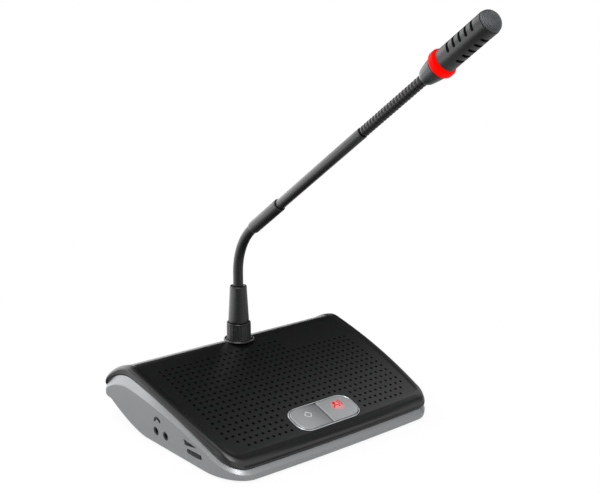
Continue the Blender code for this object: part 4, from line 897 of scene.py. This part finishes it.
def button_outline(grow):
    """Outline of both buttons together, grown by a length."""
    return even_outline(BUTTON_HALF_WIDTH + grow, BUTTON_HALF_LENGTH + grow, BUTTON_CORNER + grow)


def hole_spots(pitch):
    """(x, y) of each hole in the panel's square grid."""
    for row in range(ROW_COUNT):
        y = FIRST_ROW_Y + row * pitch
        columns = ROW_COLUMNS[row] if row < len(ROW_COLUMNS) else FULL_COLUMNS
        for column in range(columns):
            x = (column - (columns - 1) / 2) * pitch
            at_buttons = abs(x) < BUTTON_CLEAR[0] and y < BUTTON_CLEAR[1]
            at_bare_corner = x > BARE_CORNER[0] and y > BARE_CORNER[1]
            if not (at_buttons or at_bare_corner or math.hypot(x, y - STEM_Y) < STEM_CLEAR_RADIUS):
                yield x, y


def cover_rings():
    """Rings of the cover from its panel over the rim, down to the parting line and back inside."""
    rear, split_y = REAR_ROLL_CURVE[-1][0], SPLIT_REAR_CURVE[-1][0]
    panel_y, crest_y = rear - REAR_EDGE_INSET, rear - 0.6 * REAR_EDGE_INSET
    rings = [ring(panel_height, 1.0, RIM_SLOPE_WIDTH, panel_y)]
    for step in range(1, 8):
        share = step / 7
        height = between(panel_height, rim_height, share**2 * (3 - 2 * share))
        rings.append(ring(height, 1.0, mix(RIM_SLOPE_WIDTH, RIM_ROUND, share), mix(panel_y, crest_y, share)))
    for step in range(1, 6):
        angle = math.pi / 2 * step / 5
        inset = RIM_ROUND * (1.0 - math.sin(angle))
        lift = -RIM_DROP * (1.0 - math.cos(angle))
        rings.append(ring(rim_height, 1.0, inset, mix(crest_y, rear, 0.6 * step / 5), lift))
    for step in range(1, 7):
        share = step / 6
        height = between(cover_shoulder, cover_edge, share)
        rear_y = mix(mix(crest_y, rear, 0.6), split_y, share)
        rings.append(ring(height, mix(1.0, SPLIT_SHARE, share), WAIST * share**2.6, rear_y))
    rings.append(ring(cover_edge, SPLIT_SHARE, WAIST, split_y, 0.0, WALL))
    rings.append(ring(rim_height, 1.0, RIM_ROUND, crest_y, -PANEL_THICKNESS - RIM_ROUND / 2, WALL))
    rings.append(ring(panel_height, 1.0, RIM_SLOPE_WIDTH, panel_y, -PANEL_THICKNESS, PANEL_THICKNESS))
    return rings


def build_cover(unit):
    """Black cover with round holes and openings for the buttons and the stem."""
    casing = unit.casing
    material = moulded_plastic("spark_eroded_black_abs", unit.colours.cover, low=0.26, high=0.33, level=0.6)
    cover = add_piece("cover_skin", loft(cover_rings()), material, None, "base", "top_cover")
    pitch, radius, depth = casing.hole_pitch / MM, casing.hole_radius / MM, casing.hole_depth / MM
    holes = bmesh.new()
    for x, y in hole_spots(pitch):
        add_cylinder(holes, 0.8 * radius, -depth, 0.3, on_panel(x, y), 12, 1.04 * radius)
    cut(cover, finished(holes))
    for radius, low in STEM_BORES:
        opening = bmesh.new()
        add_cylinder(opening, radius, low, 12.0, on_stem(SOCKET_TOP_Z), 64)
        cut(cover, finished(opening))
    cut(cover, plates(-8.0, 8.0, button_outline(2 * CLEARANCE + BEZEL_WIDTH)), on_panel(0.0, BUTTON_Y))
    sharpen(cover, 40.0)


def housing_rings():
    """Rings of the housing from its floor up inside, over the parting line and down outside."""
    split_y, band_y = SPLIT_REAR_CURVE[-1][0], BAND_REAR_CURVE[-1][0]
    bottom_y = REAR_TIP_Y - 0.3 * BOTTOM_ROUND
    rings = [
        ring(underside_height, 0.0, 0.0, bottom_y, 2.4, WALL),
        ring(band_height, BAND_SHARE, 0.0, band_y, 0.0, WALL),
        ring(housing_top, SPLIT_SHARE, WAIST, split_y, 0.0, WALL),
        ring(housing_top, SPLIT_SHARE, WAIST + 0.3, split_y),
    ]
    for share in (0.03, 0.08, 0.5, 0.88, 0.96, 1.0):
        height, rear_y = between(housing_top, band_height, share), mix(split_y, band_y, share)
        rings.append(ring(height, mix(SPLIT_SHARE, BAND_SHARE, share), WAIST * (1.0 - share), rear_y))
    for share in (0.03, 0.1, 0.5, 0.9, 1.0):
        height, rear_y = between(band_height, wall_foot, share), mix(band_y, REAR_TIP_Y, share)
        rings.append(ring(height, mix(BAND_SHARE, WALL_FOOT_SHARE, share), 0.0, rear_y))
    for step in range(1, 5):
        angle = math.pi / 2 * step / 4
        inset, lift = BOTTOM_ROUND * (1.0 - math.cos(angle)), BOTTOM_ROUND * (1.0 - math.sin(angle))
        share = WALL_FOOT_SHARE * (1.0 - step / 4)
        rings.append(ring(underside_height, share, inset, mix(REAR_TIP_Y, bottom_y, step / 4), lift))
    return rings


def add_side_sign(name, outline, height, material):
    """Thin print on the left wall, from (y, z) points."""
    rings = [[(-wall_half_width(y, z) - out, y, z) for y, z in outline] for out in (-0.1, height)]
    add_piece(name, loft(rings, "faces"), material, None, "base", None)


def build_housing(unit):
    """Silver housing with its holes and wheel slot, and the signs on its left wall."""
    paint = metallic_paint("silver_metallic_paint", unit.colours.housing)
    shell = loft(housing_rings())
    housing = add_piece("housing_shell", shell, paint, None, "base", "bottom_housing")
    holes = bmesh.new()
    for y in JACK_YS:
        place = at(-wall_half_width(y, JACK_Z), y, JACK_Z, rotation(90, "Y"))
        add_cylinder(holes, JACK_HOLE_RADIUS, -4.0, 4.4, place, 40)
    for side in (-1, 1):
        for x, y in SCREW_SPOTS:
            add_cylinder(holes, SCREW_HOLE_RADIUS, -1.0, 1.4, at(side * x, y, 0.0), 32)
        for x, y in FOOT_SPOTS:
            add_cylinder(holes, FOOT_HOLE_RADIUS, -1.0, 0.8, at(side * x, y, 0.0), 40)
        x, y = LINK_SOCKET_SPOT
        add_cylinder(holes, LINK_HOLE_RADIUS, -5.0, 3.0, on_slope(underside_height, side * x, y, 180.0), 40)
    cut(housing, finished(holes))
    y, z = WHEEL_SPOT
    slot = plates(-4.4, 4.4, even_outline(*WHEEL_SLOT))
    cut(housing, slot, at(-wall_half_width(y, z), y, z, rotation(90, "Z") @ rotation(90, "X")))
    sharpen(housing, 28.0)
    ink, height = printed_ink("black_pad_print", 0x0A0A0B), unit.casing.print_height / MM
    add_side_sign("volume_sign", VOLUME_WEDGE, height, ink)
    add_side_sign("headphone_sign", stroke(3.2, 1.9, 5.0, 165.0, 12, (79.6, 17.4)), height, ink)


def build_buttons(unit):
    """Chrome bezel, two crowned buttons, the lit icon and the plain one."""
    casing, colours, strength = unit.casing, unit.colours, unit.microphone.icon_glow
    low, top = -3.0, BEZEL_PROUD
    profile = ((0.0, low), (0.0, top - 0.45), (0.1, top - 0.2), (0.3, top - 0.03), (0.5, top))
    profile += ((0.7, top - 0.03), (0.9, top - 0.2), (1.0, top - 0.45), (1.0, low))
    rings = [[(x, y, z) for x, y in button_outline(CLEARANCE + share * BEZEL_WIDTH)] for share, z in profile]
    # Chrome plating on ABS: near-mirror, with a slight waviness
    chrome = grained("chrome_plated_abs", linear(0xC9CBCD), 2.0, 0.01, 0.07, 0.14, 1.0)
    bezel = loft(rings, "joined")
    add_piece("bezel_band", bezel, chrome, on_panel(0.0, BUTTON_Y), "base", "button_bezel")

    wide, long, corner, gap = BUTTON_HALF_WIDTH, BUTTON_HALF_LENGTH, BUTTON_CORNER, CLEARANCE / 2
    edge, crown, dip = casing.button_edge / MM, casing.button_crown / MM, casing.button_dip / MM

    def button_top(side, x, y):
        """Crowned top, which sinks towards the right one on the left button."""
        swell = (1.0 - (y / long) ** 2) * (1.0 - min(1.0, abs(x + 2.0 * side) / wide) ** 2)
        sunk = dip * max(0.0, (x + 2.0) / (wide / 2)) ** 2 if side < 0 else 0.0
        return BUTTON_PROUD - crown + crown * swell - sunk

    # The right button's paint carries a painted glow round its icon, and the left one's a painted shade
    # towards the split.
    glow_centre = on_panel(wide / 2, BUTTON_Y) @ Vector((0.0, ICON_OFFSET * MM, BUTTON_PROUD * MM)) / MM
    lit = painted_button("silver_paint_painted_glow", colours.buttons, colours.light, 0.45 * strength, glow_centre)
    plain = painted_button("silver_paint", colours.buttons)
    for side, name, material in ((-1, "left_button", plain), (1, "right_button", lit)):
        radii = (corner, 0.8, 0.8, corner) if side < 0 else (0.8, corner, corner, 0.8)
        start, end = (-wide / 2, wide / 2 - gap) if side < 0 else (gap - wide / 2, wide / 2)
        outline = dense(rounded_outline((start, -long), (end, long), radii))
        cap = capped(outline, -3.5, edge, lambda x, y, side=side: button_top(side, x, y))
        place = on_panel(side * wide / 2, BUTTON_Y)
        add_piece(name + "_cap", cap, material, place, name, name)

    high, y = button_top(1, 0.0, ICON_OFFSET), BUTTON_Y + ICON_OFFSET
    outlines = [arc(1.35, 0, 330, 12, (-1.5, 2.5)), stroke(2.6, 1.0, 10, 170, 10, (-1.5, -2.2))]
    outlines += [stroke(reach, 0.8, -32, 42, 6, (-0.9, 1.2)) for reach in (3.0, 4.8)]
    icon = plates(high - ICON_DEPTH, high + 0.05, *outlines)
    light = lit_plastic("lit_red_icon", colours.light, strength)
    add_piece("talk_icon", icon, light, on_panel(wide / 2, y), "right_button", "button_lens")

    high = button_top(-1, 0.0, ICON_OFFSET)
    outer, inner = arc(3.2, 0, 270, 3), arc(2.6, 0, 270, 3)
    sides = ((0, 1), (1, 2), (2, 3), (3, 0))
    outlines = [[outer[i], outer[j], inner[j], inner[i]] for i, j in sides]
    icon = plates(high - ICON_DEPTH, high + 0.03, *outlines)
    pale = printed_ink("pale_pad_print", 0xDCDEE0)
    add_piece("diamond_icon", icon, pale, on_panel(-wide / 2, y), "left_button", None)


def build_stem_foot(unit):
    """Ring round the stem's foot, fluted collar and tapered sleeve."""
    microphone = unit.microphone
    lacquer = lacquered_metal("black_lacquered_brass", unit.colours.metal, 0.25, 0.35)
    seat, radius = SOCKET_TOP_Z + CLEARANCE, microphone.collar_radius / MM
    inner = radius + CLEARANCE
    profile = ((inner, seat + 0.9), (inner + 0.3, seat + 1.1), (10.5, seat + 1.1), (11.25, seat + 0.4))
    profile += ((11.25, seat), (inner, seat))
    add_turned("foot_ring", profile, lacquer, on_stem(), "base", "stem_escutcheon", "black_metal")
    profile = [(6.0, COLLAR_TOP_Z), (radius - 0.3, COLLAR_TOP_Z)]
    profile += [(radius, mix(COLLAR_TOP_Z - 0.4, seat + 0.4, step / 6)) for step in range(7)]
    profile += [(radius - 0.4, seat), (6.0, seat)]
    shape = (192, 0.2, True, (24, 0.16, 7.0, seat + 0.5, COLLAR_TOP_Z - 0.5))
    add_turned("fluted_collar", profile, lacquer, on_stem(), "collar", "lock_collar", "black_metal", *shape)
    low, top, bore = COLLAR_TOP_Z + CLEARANCE, SLEEVE_TOP_Z, microphone.lower_neck_radius / MM + CLEARANCE
    profile = ((bore, top - 1.0), (4.7, top), (5.8, top), (6.2, top - 0.4), (6.23, top - 2.2))
    profile += ((7.5, low + 1.8), (7.5, low + 0.3), (7.2, low), (4.6, low), (4.6, low + 19.9))
    profile += ((bore, low + 19.9),)
    add_turned("tapered_sleeve", profile, lacquer, on_stem(), "stem", "stem_sleeve", "black_metal", 96, 0.15)


def build_arm(unit):
    """Two goosenecks, the ferrule and the tube."""
    microphone, arm = unit.microphone, on_arm(0.0)
    # Satin rubber coating of a gooseneck, with a fine peel
    sheath = grained("black_rubber_sheath", unit.colours.sheath, 0.3, 0.005, 0.3, 0.44, tone=0.15, IOR=1.5)
    lacquer = lacquered_metal("black_lacquered_tube", unit.colours.metal, 0.32, 0.42)
    radius = microphone.lower_neck_radius / MM
    centres = [(STEM_Y, mix(LOWER_NECK_START_Z, LOWER_NECK_STRAIGHT_Z, step / 6)) for step in range(7)]
    start = at(0.0, *centres[-1]).to_translation()
    centres += [on_neck(NECK_BEND * step / 28) for step in range(1, 29)]
    centres.append(in_millimetres(on_arm(4.5)).yz)
    mesh = swept(centres, [radius] * len(centres))
    neck = add_piece("smooth_neck", mesh, sheath, None, None, "lower_gooseneck")
    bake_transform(neck)
    bore = radius + CLEARANCE
    profile = ((3.95, 36.0), (4.3, 36.0), (4.55, 35.3), (4.55, 1.0), (4.3, 0.0), (bore, 0.0), (bore, 6.0))
    profile += ((3.95, 28.0),)
    add_turned("ferrule_tube", profile, lacquer, arm, "arm", "lower_ferrule", "black_metal", 64, 0.2)
    low, top = TUBE_START, TUBE_END
    profile = ((2.6, top), (3.45, top), (3.65, top - 0.3), (3.65, low), (2.6, low))
    add_turned("arm_tube", profile, lacquer, arm, "arm", "stem_tube", "black_metal", 64, 0.15)

    outer, groove = microphone.upper_neck_radius / MM, microphone.groove_radius / MM
    ribs, plain, steps, begin = microphone.neck_ribs, 1.0, 8, TUBE_END + CLEARANCE
    pitch = (UPPER_NECK_LENGTH - 2 * plain) / ribs
    heights, radii = [-1.5, -0.1, 0.0, plain], [NECK_CORE, NECK_CORE, groove, groove]
    for step in range(1, ribs * steps + 1):
        heights.append(plain + step / steps * pitch)
        radii.append(mix(groove, outer, abs(math.sin(math.pi * step / steps)) ** 0.6))
    heights.append(UPPER_NECK_LENGTH)
    radii.append(groove)
    centres = [in_millimetres(on_arm(begin + height)).yz for height in heights]
    mesh = swept(centres, radii)
    neck = add_piece("ribbed_neck", mesh, sheath, None, None, "upper_gooseneck")
    start, end = (on_arm(begin + way).to_translation() for way in (1.5, UPPER_NECK_LENGTH - 1.5))
    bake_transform(neck)


def build_head(unit):
    """Cone, lit ring, slotted barrel and domed mesh cap."""
    microphone, colours = unit.microphone, unit.colours
    satin = lacquered_metal("black_lacquered_head", colours.head, 0.34, 0.44)
    grey = lacquered_metal("grey_lacquered_cone", colours.cone, 0.26, 0.36, 0.3)
    start, tip = TUBE_END + UPPER_NECK_LENGTH + 2 * CLEARANCE, CONE_LENGTH
    profile = ((0.0, tip), (7.1, tip), (7.3, tip - 0.5), (7.0, 0.82 * tip), (6.24, 0.5 * tip))
    profile += ((5.34, 0.18 * tip), (4.5, 0.5), (4.1, 0.0), (0.0, 0.0))
    shape = (96, 0.8, False)
    add_turned("head_cone_shell", profile, grey, on_arm(start), "head", "head_cone", "grey_metal", *shape)
    start += tip + CLEARANCE
    radius, tip = microphone.ring_radius / MM, RING_LENGTH
    profile = ((4.5, tip), (radius - 1.0, tip), (radius, tip - 1.0), (radius, 1.0), (radius - 1.0, 0.0))
    profile += ((4.5, 0.0),)
    light = lit_plastic("lit_red_polycarbonate", colours.light, microphone.ring_glow)
    add_turned("lit_ring", profile, light, on_arm(start), "head", "light_ring", "red_light", 96, 0.9)
    start += tip + CLEARANCE

    outer, inner, tip = BARREL_RADIUS, BARREL_RADIUS - 1.05, BARREL_LENGTH
    profile = ((inner, tip), (outer, tip), (outer, 0.3), (outer - 0.3, 0.0), (4.5, 0.0), (4.5, 2.0))
    profile += ((inner, 2.0),)
    place, shape = on_arm(start), (96, 0.15)
    shell = add_turned("slotted_barrel", profile, satin, place, "head", "head_barrel", "black_metal", *shape)
    long = microphone.slot_length / MM
    slot_outline = even_outline(outer * math.sin(SLOT_REACH), long / 2, 0.45 * long, 5)
    for row in range(3):
        for slot in range(5):
            centre = Matrix.Translation((0.0, 0.0, (FIRST_SLOT + slot * SLOT_PITCH) * MM))
            side = rotation(120 + 120 * row, "Z") @ rotation(90, "X")
            cut(shell, plates(0.5 * outer, 1.5 * outer, slot_outline), place @ centre @ side)
    sharpen(shell, 35.0)

    start += tip + CLEARANCE
    angles = [math.radians(degrees) for degrees in range(0, 90, 6)]
    dome = [(CAP_RADIUS * math.cos(angle), CAP_HEIGHT * math.sin(angle)) for angle in angles]
    profile, shape = [(0.0, 0.0), *dome, (0.0, CAP_HEIGHT)], (96, 0.0, False)
    wire = woven_mesh("lacquered_wire_mesh", colours.mesh, microphone.wire_pitch / MM, 7.0)
    add_turned("mesh_dome", profile, wire, on_arm(start), "head", "mesh_cap", "mesh_metal", *shape)


def dress_other_nodes():
    """Materials for the CAD nodes that stay as they are."""
    nylon = moulded_plastic("black_moulded_nylon", linear(0x161617), 0.4, 0.01, 0.4, 0.55)
    grey_nylon = moulded_plastic("grey_moulded_nylon", linear(0x242527), 0.3, 0.01, 0.35, 0.5)
    # Zinc-plated steel: bright, with fine drawn lines
    zinc, drawn = linear(0x9B9DA0), (0.2, 3.0, 3.0)
    steel = grained("zinc_plated_steel", zinc, 0.25, 0.002, 0.18, 0.34, 1.0, stretch=drawn)
    # Moulded rubber: matt, with a fine peel
    dark = linear(0x1B1B1C)
    rubber = grained("moulded_black_rubber", dark, 0.5, 0.02, 0.6, 0.8, Specular_IOR_Level=0.35)
    chosen = {
        nylon: ("switch", "jack", "volume_control", "socket"),
        grey_nylon: ("volume_wheel",),
        circuit_board("green_solder_mask", linear(0x1E5A36)): ("button_board", "main_board"),
        pored("pressed_cone_paper", linear(0x2A2A2A), 0.6, 0.05): ("speaker_cone",),
        pored("black_open_foam", linear(0x121212), 0.5, 0.3): ("head_foam",),
        rubber: ("rubber_foot",),
        steel: ("speaker_frame", "speaker_magnet", "ballast_plate", "mic_capsule", "stem_plug", "screw"),
    }
    for name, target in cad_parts.items():
        for material, words in chosen.items():
            if any(word in name for word in words):
                target.data.materials.clear()
                target.data.materials.append(material)


# Stage


def white_floor_material():
    """White paper floor, which fades into the white surroundings away from the unit."""
    look = new_look("white_paper_floor", linear(0xF6F6F6), 0.85, Specular_IOR_Level=0.1)
    ray = look.add("LightPath").outputs
    place = look.add("NewGeometry").outputs["Position"]
    near = look.eased(look.measure("LENGTH", place), 0.9, 1.0, 0.15, 0.5)
    share = look.calc("MAXIMUM", look.calc("MULTIPLY", ray["Is Camera Ray"], near), ray["Is Glossy Ray"])
    behind = look.measure("DOT_PRODUCT", place, (0.63, 0.74, 0.0))
    aside = look.measure("DOT_PRODUCT", place, (0.74, -0.63, 0.0))
    rear_left = look.measure("DOT_PRODUCT", place, (-0.5, 0.87, 0.0))
    middle = look.eased(look.calc("ABSOLUTE", aside), 0.9, 0.0, 0.2, 0.4)
    before = look.eased(behind, 1.0, 0.0, -0.24, -0.08)
    front = look.calc("SUBTRACT", 1.0, look.calc("MULTIPLY", middle, before))
    mirrored = look.calc("MULTIPLY", front, look.eased(rear_left, 0.65, 2.4, 0.18, 0.42))
    level = look.add("Mix", {"Factor": ray["Is Glossy Ray"], "A": 1.0, "B": mirrored})
    white = look.add("Emission", {"Color": (1.0, 1.0, 1.0, 1.0), "Strength": level})
    blend = look.add("MixShader", {0: share, 1: look.shader, 2: white})
    look.links.new(blend.outputs[0], look.nodes["Material Output"].inputs["Surface"])
    return look.owner


def build_surroundings(room):
    """White surroundings, which gloss sees as pale sides and a pale strip across a dark ceiling."""
    look = Look(bpy.data.worlds.new("white_studio"))
    bpy.context.scene.world = look.owner
    look.nodes.clear()
    ray = look.add("LightPath").outputs
    way = look.axes(look.coordinates("Generated"))
    x, y, z = way["X"], way["Y"], way["Z"]
    horizon = look.eased(z, 1.2, 0.02, 0.0, 0.18)
    left = look.calc("MULTIPLY", look.eased(x, 1.0, 0.0, -0.4, 0.15), look.eased(y, 0.5, 1.15, 0.1, 0.4))
    front = look.eased(y, 1.1, 0.0, -0.7, -0.15)
    across = look.calc("ADD", y, look.calc("MULTIPLY", x, 0.15))
    rise = look.calc("MULTIPLY", look.eased(across, 0.0, 1.0, -0.1, 0.25), look.eased(x, 0.3, 1.4, 0.5, 0.75))
    fall = look.calc("MULTIPLY", look.eased(across, 1.0, 0.0, 0.37, 0.47), look.eased(z, 0.0, 1.0, 0.1, 0.35))
    mirrored = look.calc("MAXIMUM", horizon, look.calc("MULTIPLY", rise, fall))
    mirrored = look.calc("MAXIMUM", mirrored, look.calc("MAXIMUM", left, front))
    level = look.add("Mix", {"Factor": ray["Is Glossy Ray"], "A": room, "B": mirrored})
    seen = look.calc("MAXIMUM", ray["Is Camera Ray"], ray["Is Transmission Ray"])
    level = look.add("Mix", {"Factor": seen, "A": level, "B": 1.0})
    white = look.add("Background", {"Color": (1.0, 1.0, 1.0, 1.0), "Strength": level})
    look.add("OutputWorld", {"Surface": white})


def add_lamp(name, place, target, size, power):
    """Soft lamp of a width and height in metres, which points at a target."""
    lamp = bpy.data.lights.new(name, "AREA")
    lamp.shape = "RECTANGLE"
    lamp.size, lamp.size_y = size
    lamp.energy = power
    holder = add_object(name, lamp)
    holder.location = place
    holder.rotation_euler = (Vector(target) - Vector(place)).to_track_quat("-Z", "Y").to_euler()


def build_stage(stage):
    """White floor and surroundings, three soft lamps and the camera."""
    scene = bpy.context.scene
    scene.view_settings.view_transform = "Standard"
    bm = bmesh.new()
    bmesh.ops.create_grid(bm, x_segments=1, y_segments=1, size=FLOOR_HALF_WIDTH)
    add_piece("floor", finished(bm), white_floor_material(), Matrix.Identity(4))
    build_surroundings(stage.room)
    add_lamp("key_lamp", (-0.5, -0.4, 1.3), (0.0, 0.0, 0.05), (1.0, 1.0), stage.key)
    add_lamp("rear_lamp", (-0.1, 1.25, 0.6), (0.0, 0.0, 0.15), (1.3, 1.1), stage.rear)
    add_lamp("corner_lamp", (-0.68, -0.56, 0.77), (-0.08, -0.01, 0.01), (0.4, 0.4), stage.corner)
    camera = bpy.data.cameras.new("photo_camera")
    camera.sensor_fit = "HORIZONTAL"
    camera.sensor_width = 36.0
    camera.lens = stage.lens
    camera.clip_start = 0.01
    scene.camera = add_object("photo_camera", camera)
    scene.camera.location = Vector(CAMERA_SPOT) * MM + ORIGIN
    scene.camera.rotation_euler = CAMERA_TURN


# Operators


class DELEGATE_OT_cover(bpy.types.Operator):
    """Build the black cover with its perforated panel."""

    bl_idname = "delegate_unit.cover"
    bl_label = "Cover"

    def execute(self, context):
        build_cover(context.scene.delegate_unit)
        return {"FINISHED"}


class DELEGATE_OT_housing(bpy.types.Operator):
    """Build the silver housing and the signs on its left wall."""

    bl_idname = "delegate_unit.housing"
    bl_label = "Housing"

    def execute(self, context):
        build_housing(context.scene.delegate_unit)
        return {"FINISHED"}


class DELEGATE_OT_buttons(bpy.types.Operator):
    """Build the bezel, the buttons and their icons."""

    bl_idname = "delegate_unit.buttons"
    bl_label = "Buttons"

    def execute(self, context):
        build_buttons(context.scene.delegate_unit)
        return {"FINISHED"}


class DELEGATE_OT_stem_foot(bpy.types.Operator):
    """Build the ring, collar and sleeve at the stem's foot."""

    bl_idname = "delegate_unit.stem_foot"
    bl_label = "Stem foot"

    def execute(self, context):
        build_stem_foot(context.scene.delegate_unit)
        return {"FINISHED"}


class DELEGATE_OT_arm(bpy.types.Operator):
    """Build the goosenecks, the ferrule and the tube."""

    bl_idname = "delegate_unit.arm"
    bl_label = "Arm"

    def execute(self, context):
        build_arm(context.scene.delegate_unit)
        return {"FINISHED"}


class DELEGATE_OT_head(bpy.types.Operator):
    """Build the microphone's head."""

    bl_idname = "delegate_unit.head"
    bl_label = "Head"

    def execute(self, context):
        build_head(context.scene.delegate_unit)
        return {"FINISHED"}


class DELEGATE_OT_fittings(bpy.types.Operator):
    """Give the feet, screws, sockets and inner pieces their materials."""

    bl_idname = "delegate_unit.fittings"
    bl_label = "Fittings"

    def execute(self, context):
        dress_other_nodes()
        return {"FINISHED"}


class DELEGATE_OT_stage(bpy.types.Operator):
    """Set up the floor, the surroundings, the lamps and the camera."""

    bl_idname = "delegate_unit.stage"
    bl_label = "Stage"

    def execute(self, context):
        build_stage(context.scene.delegate_unit.stage)
        return {"FINISHED"}


class DELEGATE_PT_panel(bpy.types.Panel):
    """Sidebar panel with the unit's pieces and settings."""

    bl_label = "Delegate unit"
    bl_idname = "DELEGATE_PT_panel"
    bl_space_type = "VIEW_3D"
    bl_region_type = "UI"
    bl_category = "Delegate unit"

    def draw(self, context):
        for operator in OPERATORS:
            self.layout.operator(operator.bl_idname)
        unit = context.scene.delegate_unit
        for group in (unit.casing, unit.microphone, unit.colours, unit.stage):
            box = self.layout.box()
            for name in group.__annotations__:
                box.prop(group, name)


OPERATORS = (
    DELEGATE_OT_cover,
    DELEGATE_OT_housing,
    DELEGATE_OT_buttons,
    DELEGATE_OT_stem_foot,
    DELEGATE_OT_arm,
    DELEGATE_OT_head,
    DELEGATE_OT_fittings,
    DELEGATE_OT_stage,
)
GROUPS = (
    DelegateUnitCasing,
    DelegateUnitMicrophone,
    DelegateUnitColours,
    DelegateUnitStage,
    DelegateUnitSettings,
)


def register():
    for group in (*GROUPS, *OPERATORS, DELEGATE_PT_panel):
        bpy.utils.register_class(group)
    bpy.types.Scene.delegate_unit = PointerProperty(type=DelegateUnitSettings)


def unregister():
    del bpy.types.Scene.delegate_unit
    for group in reversed((*GROUPS, *OPERATORS, DELEGATE_PT_panel)):
        bpy.utils.unregister_class(group)


def main():
    """Build every piece and the stage."""
    register()
    bpy.ops.delegate_unit.cover()
    bpy.ops.delegate_unit.housing()
    bpy.ops.delegate_unit.buttons()
    bpy.ops.delegate_unit.stem_foot()
    bpy.ops.delegate_unit.arm()
    bpy.ops.delegate_unit.head()
    bpy.ops.delegate_unit.fittings()
    bpy.ops.delegate_unit.stage()


if __name__ == "__main__":
    main()
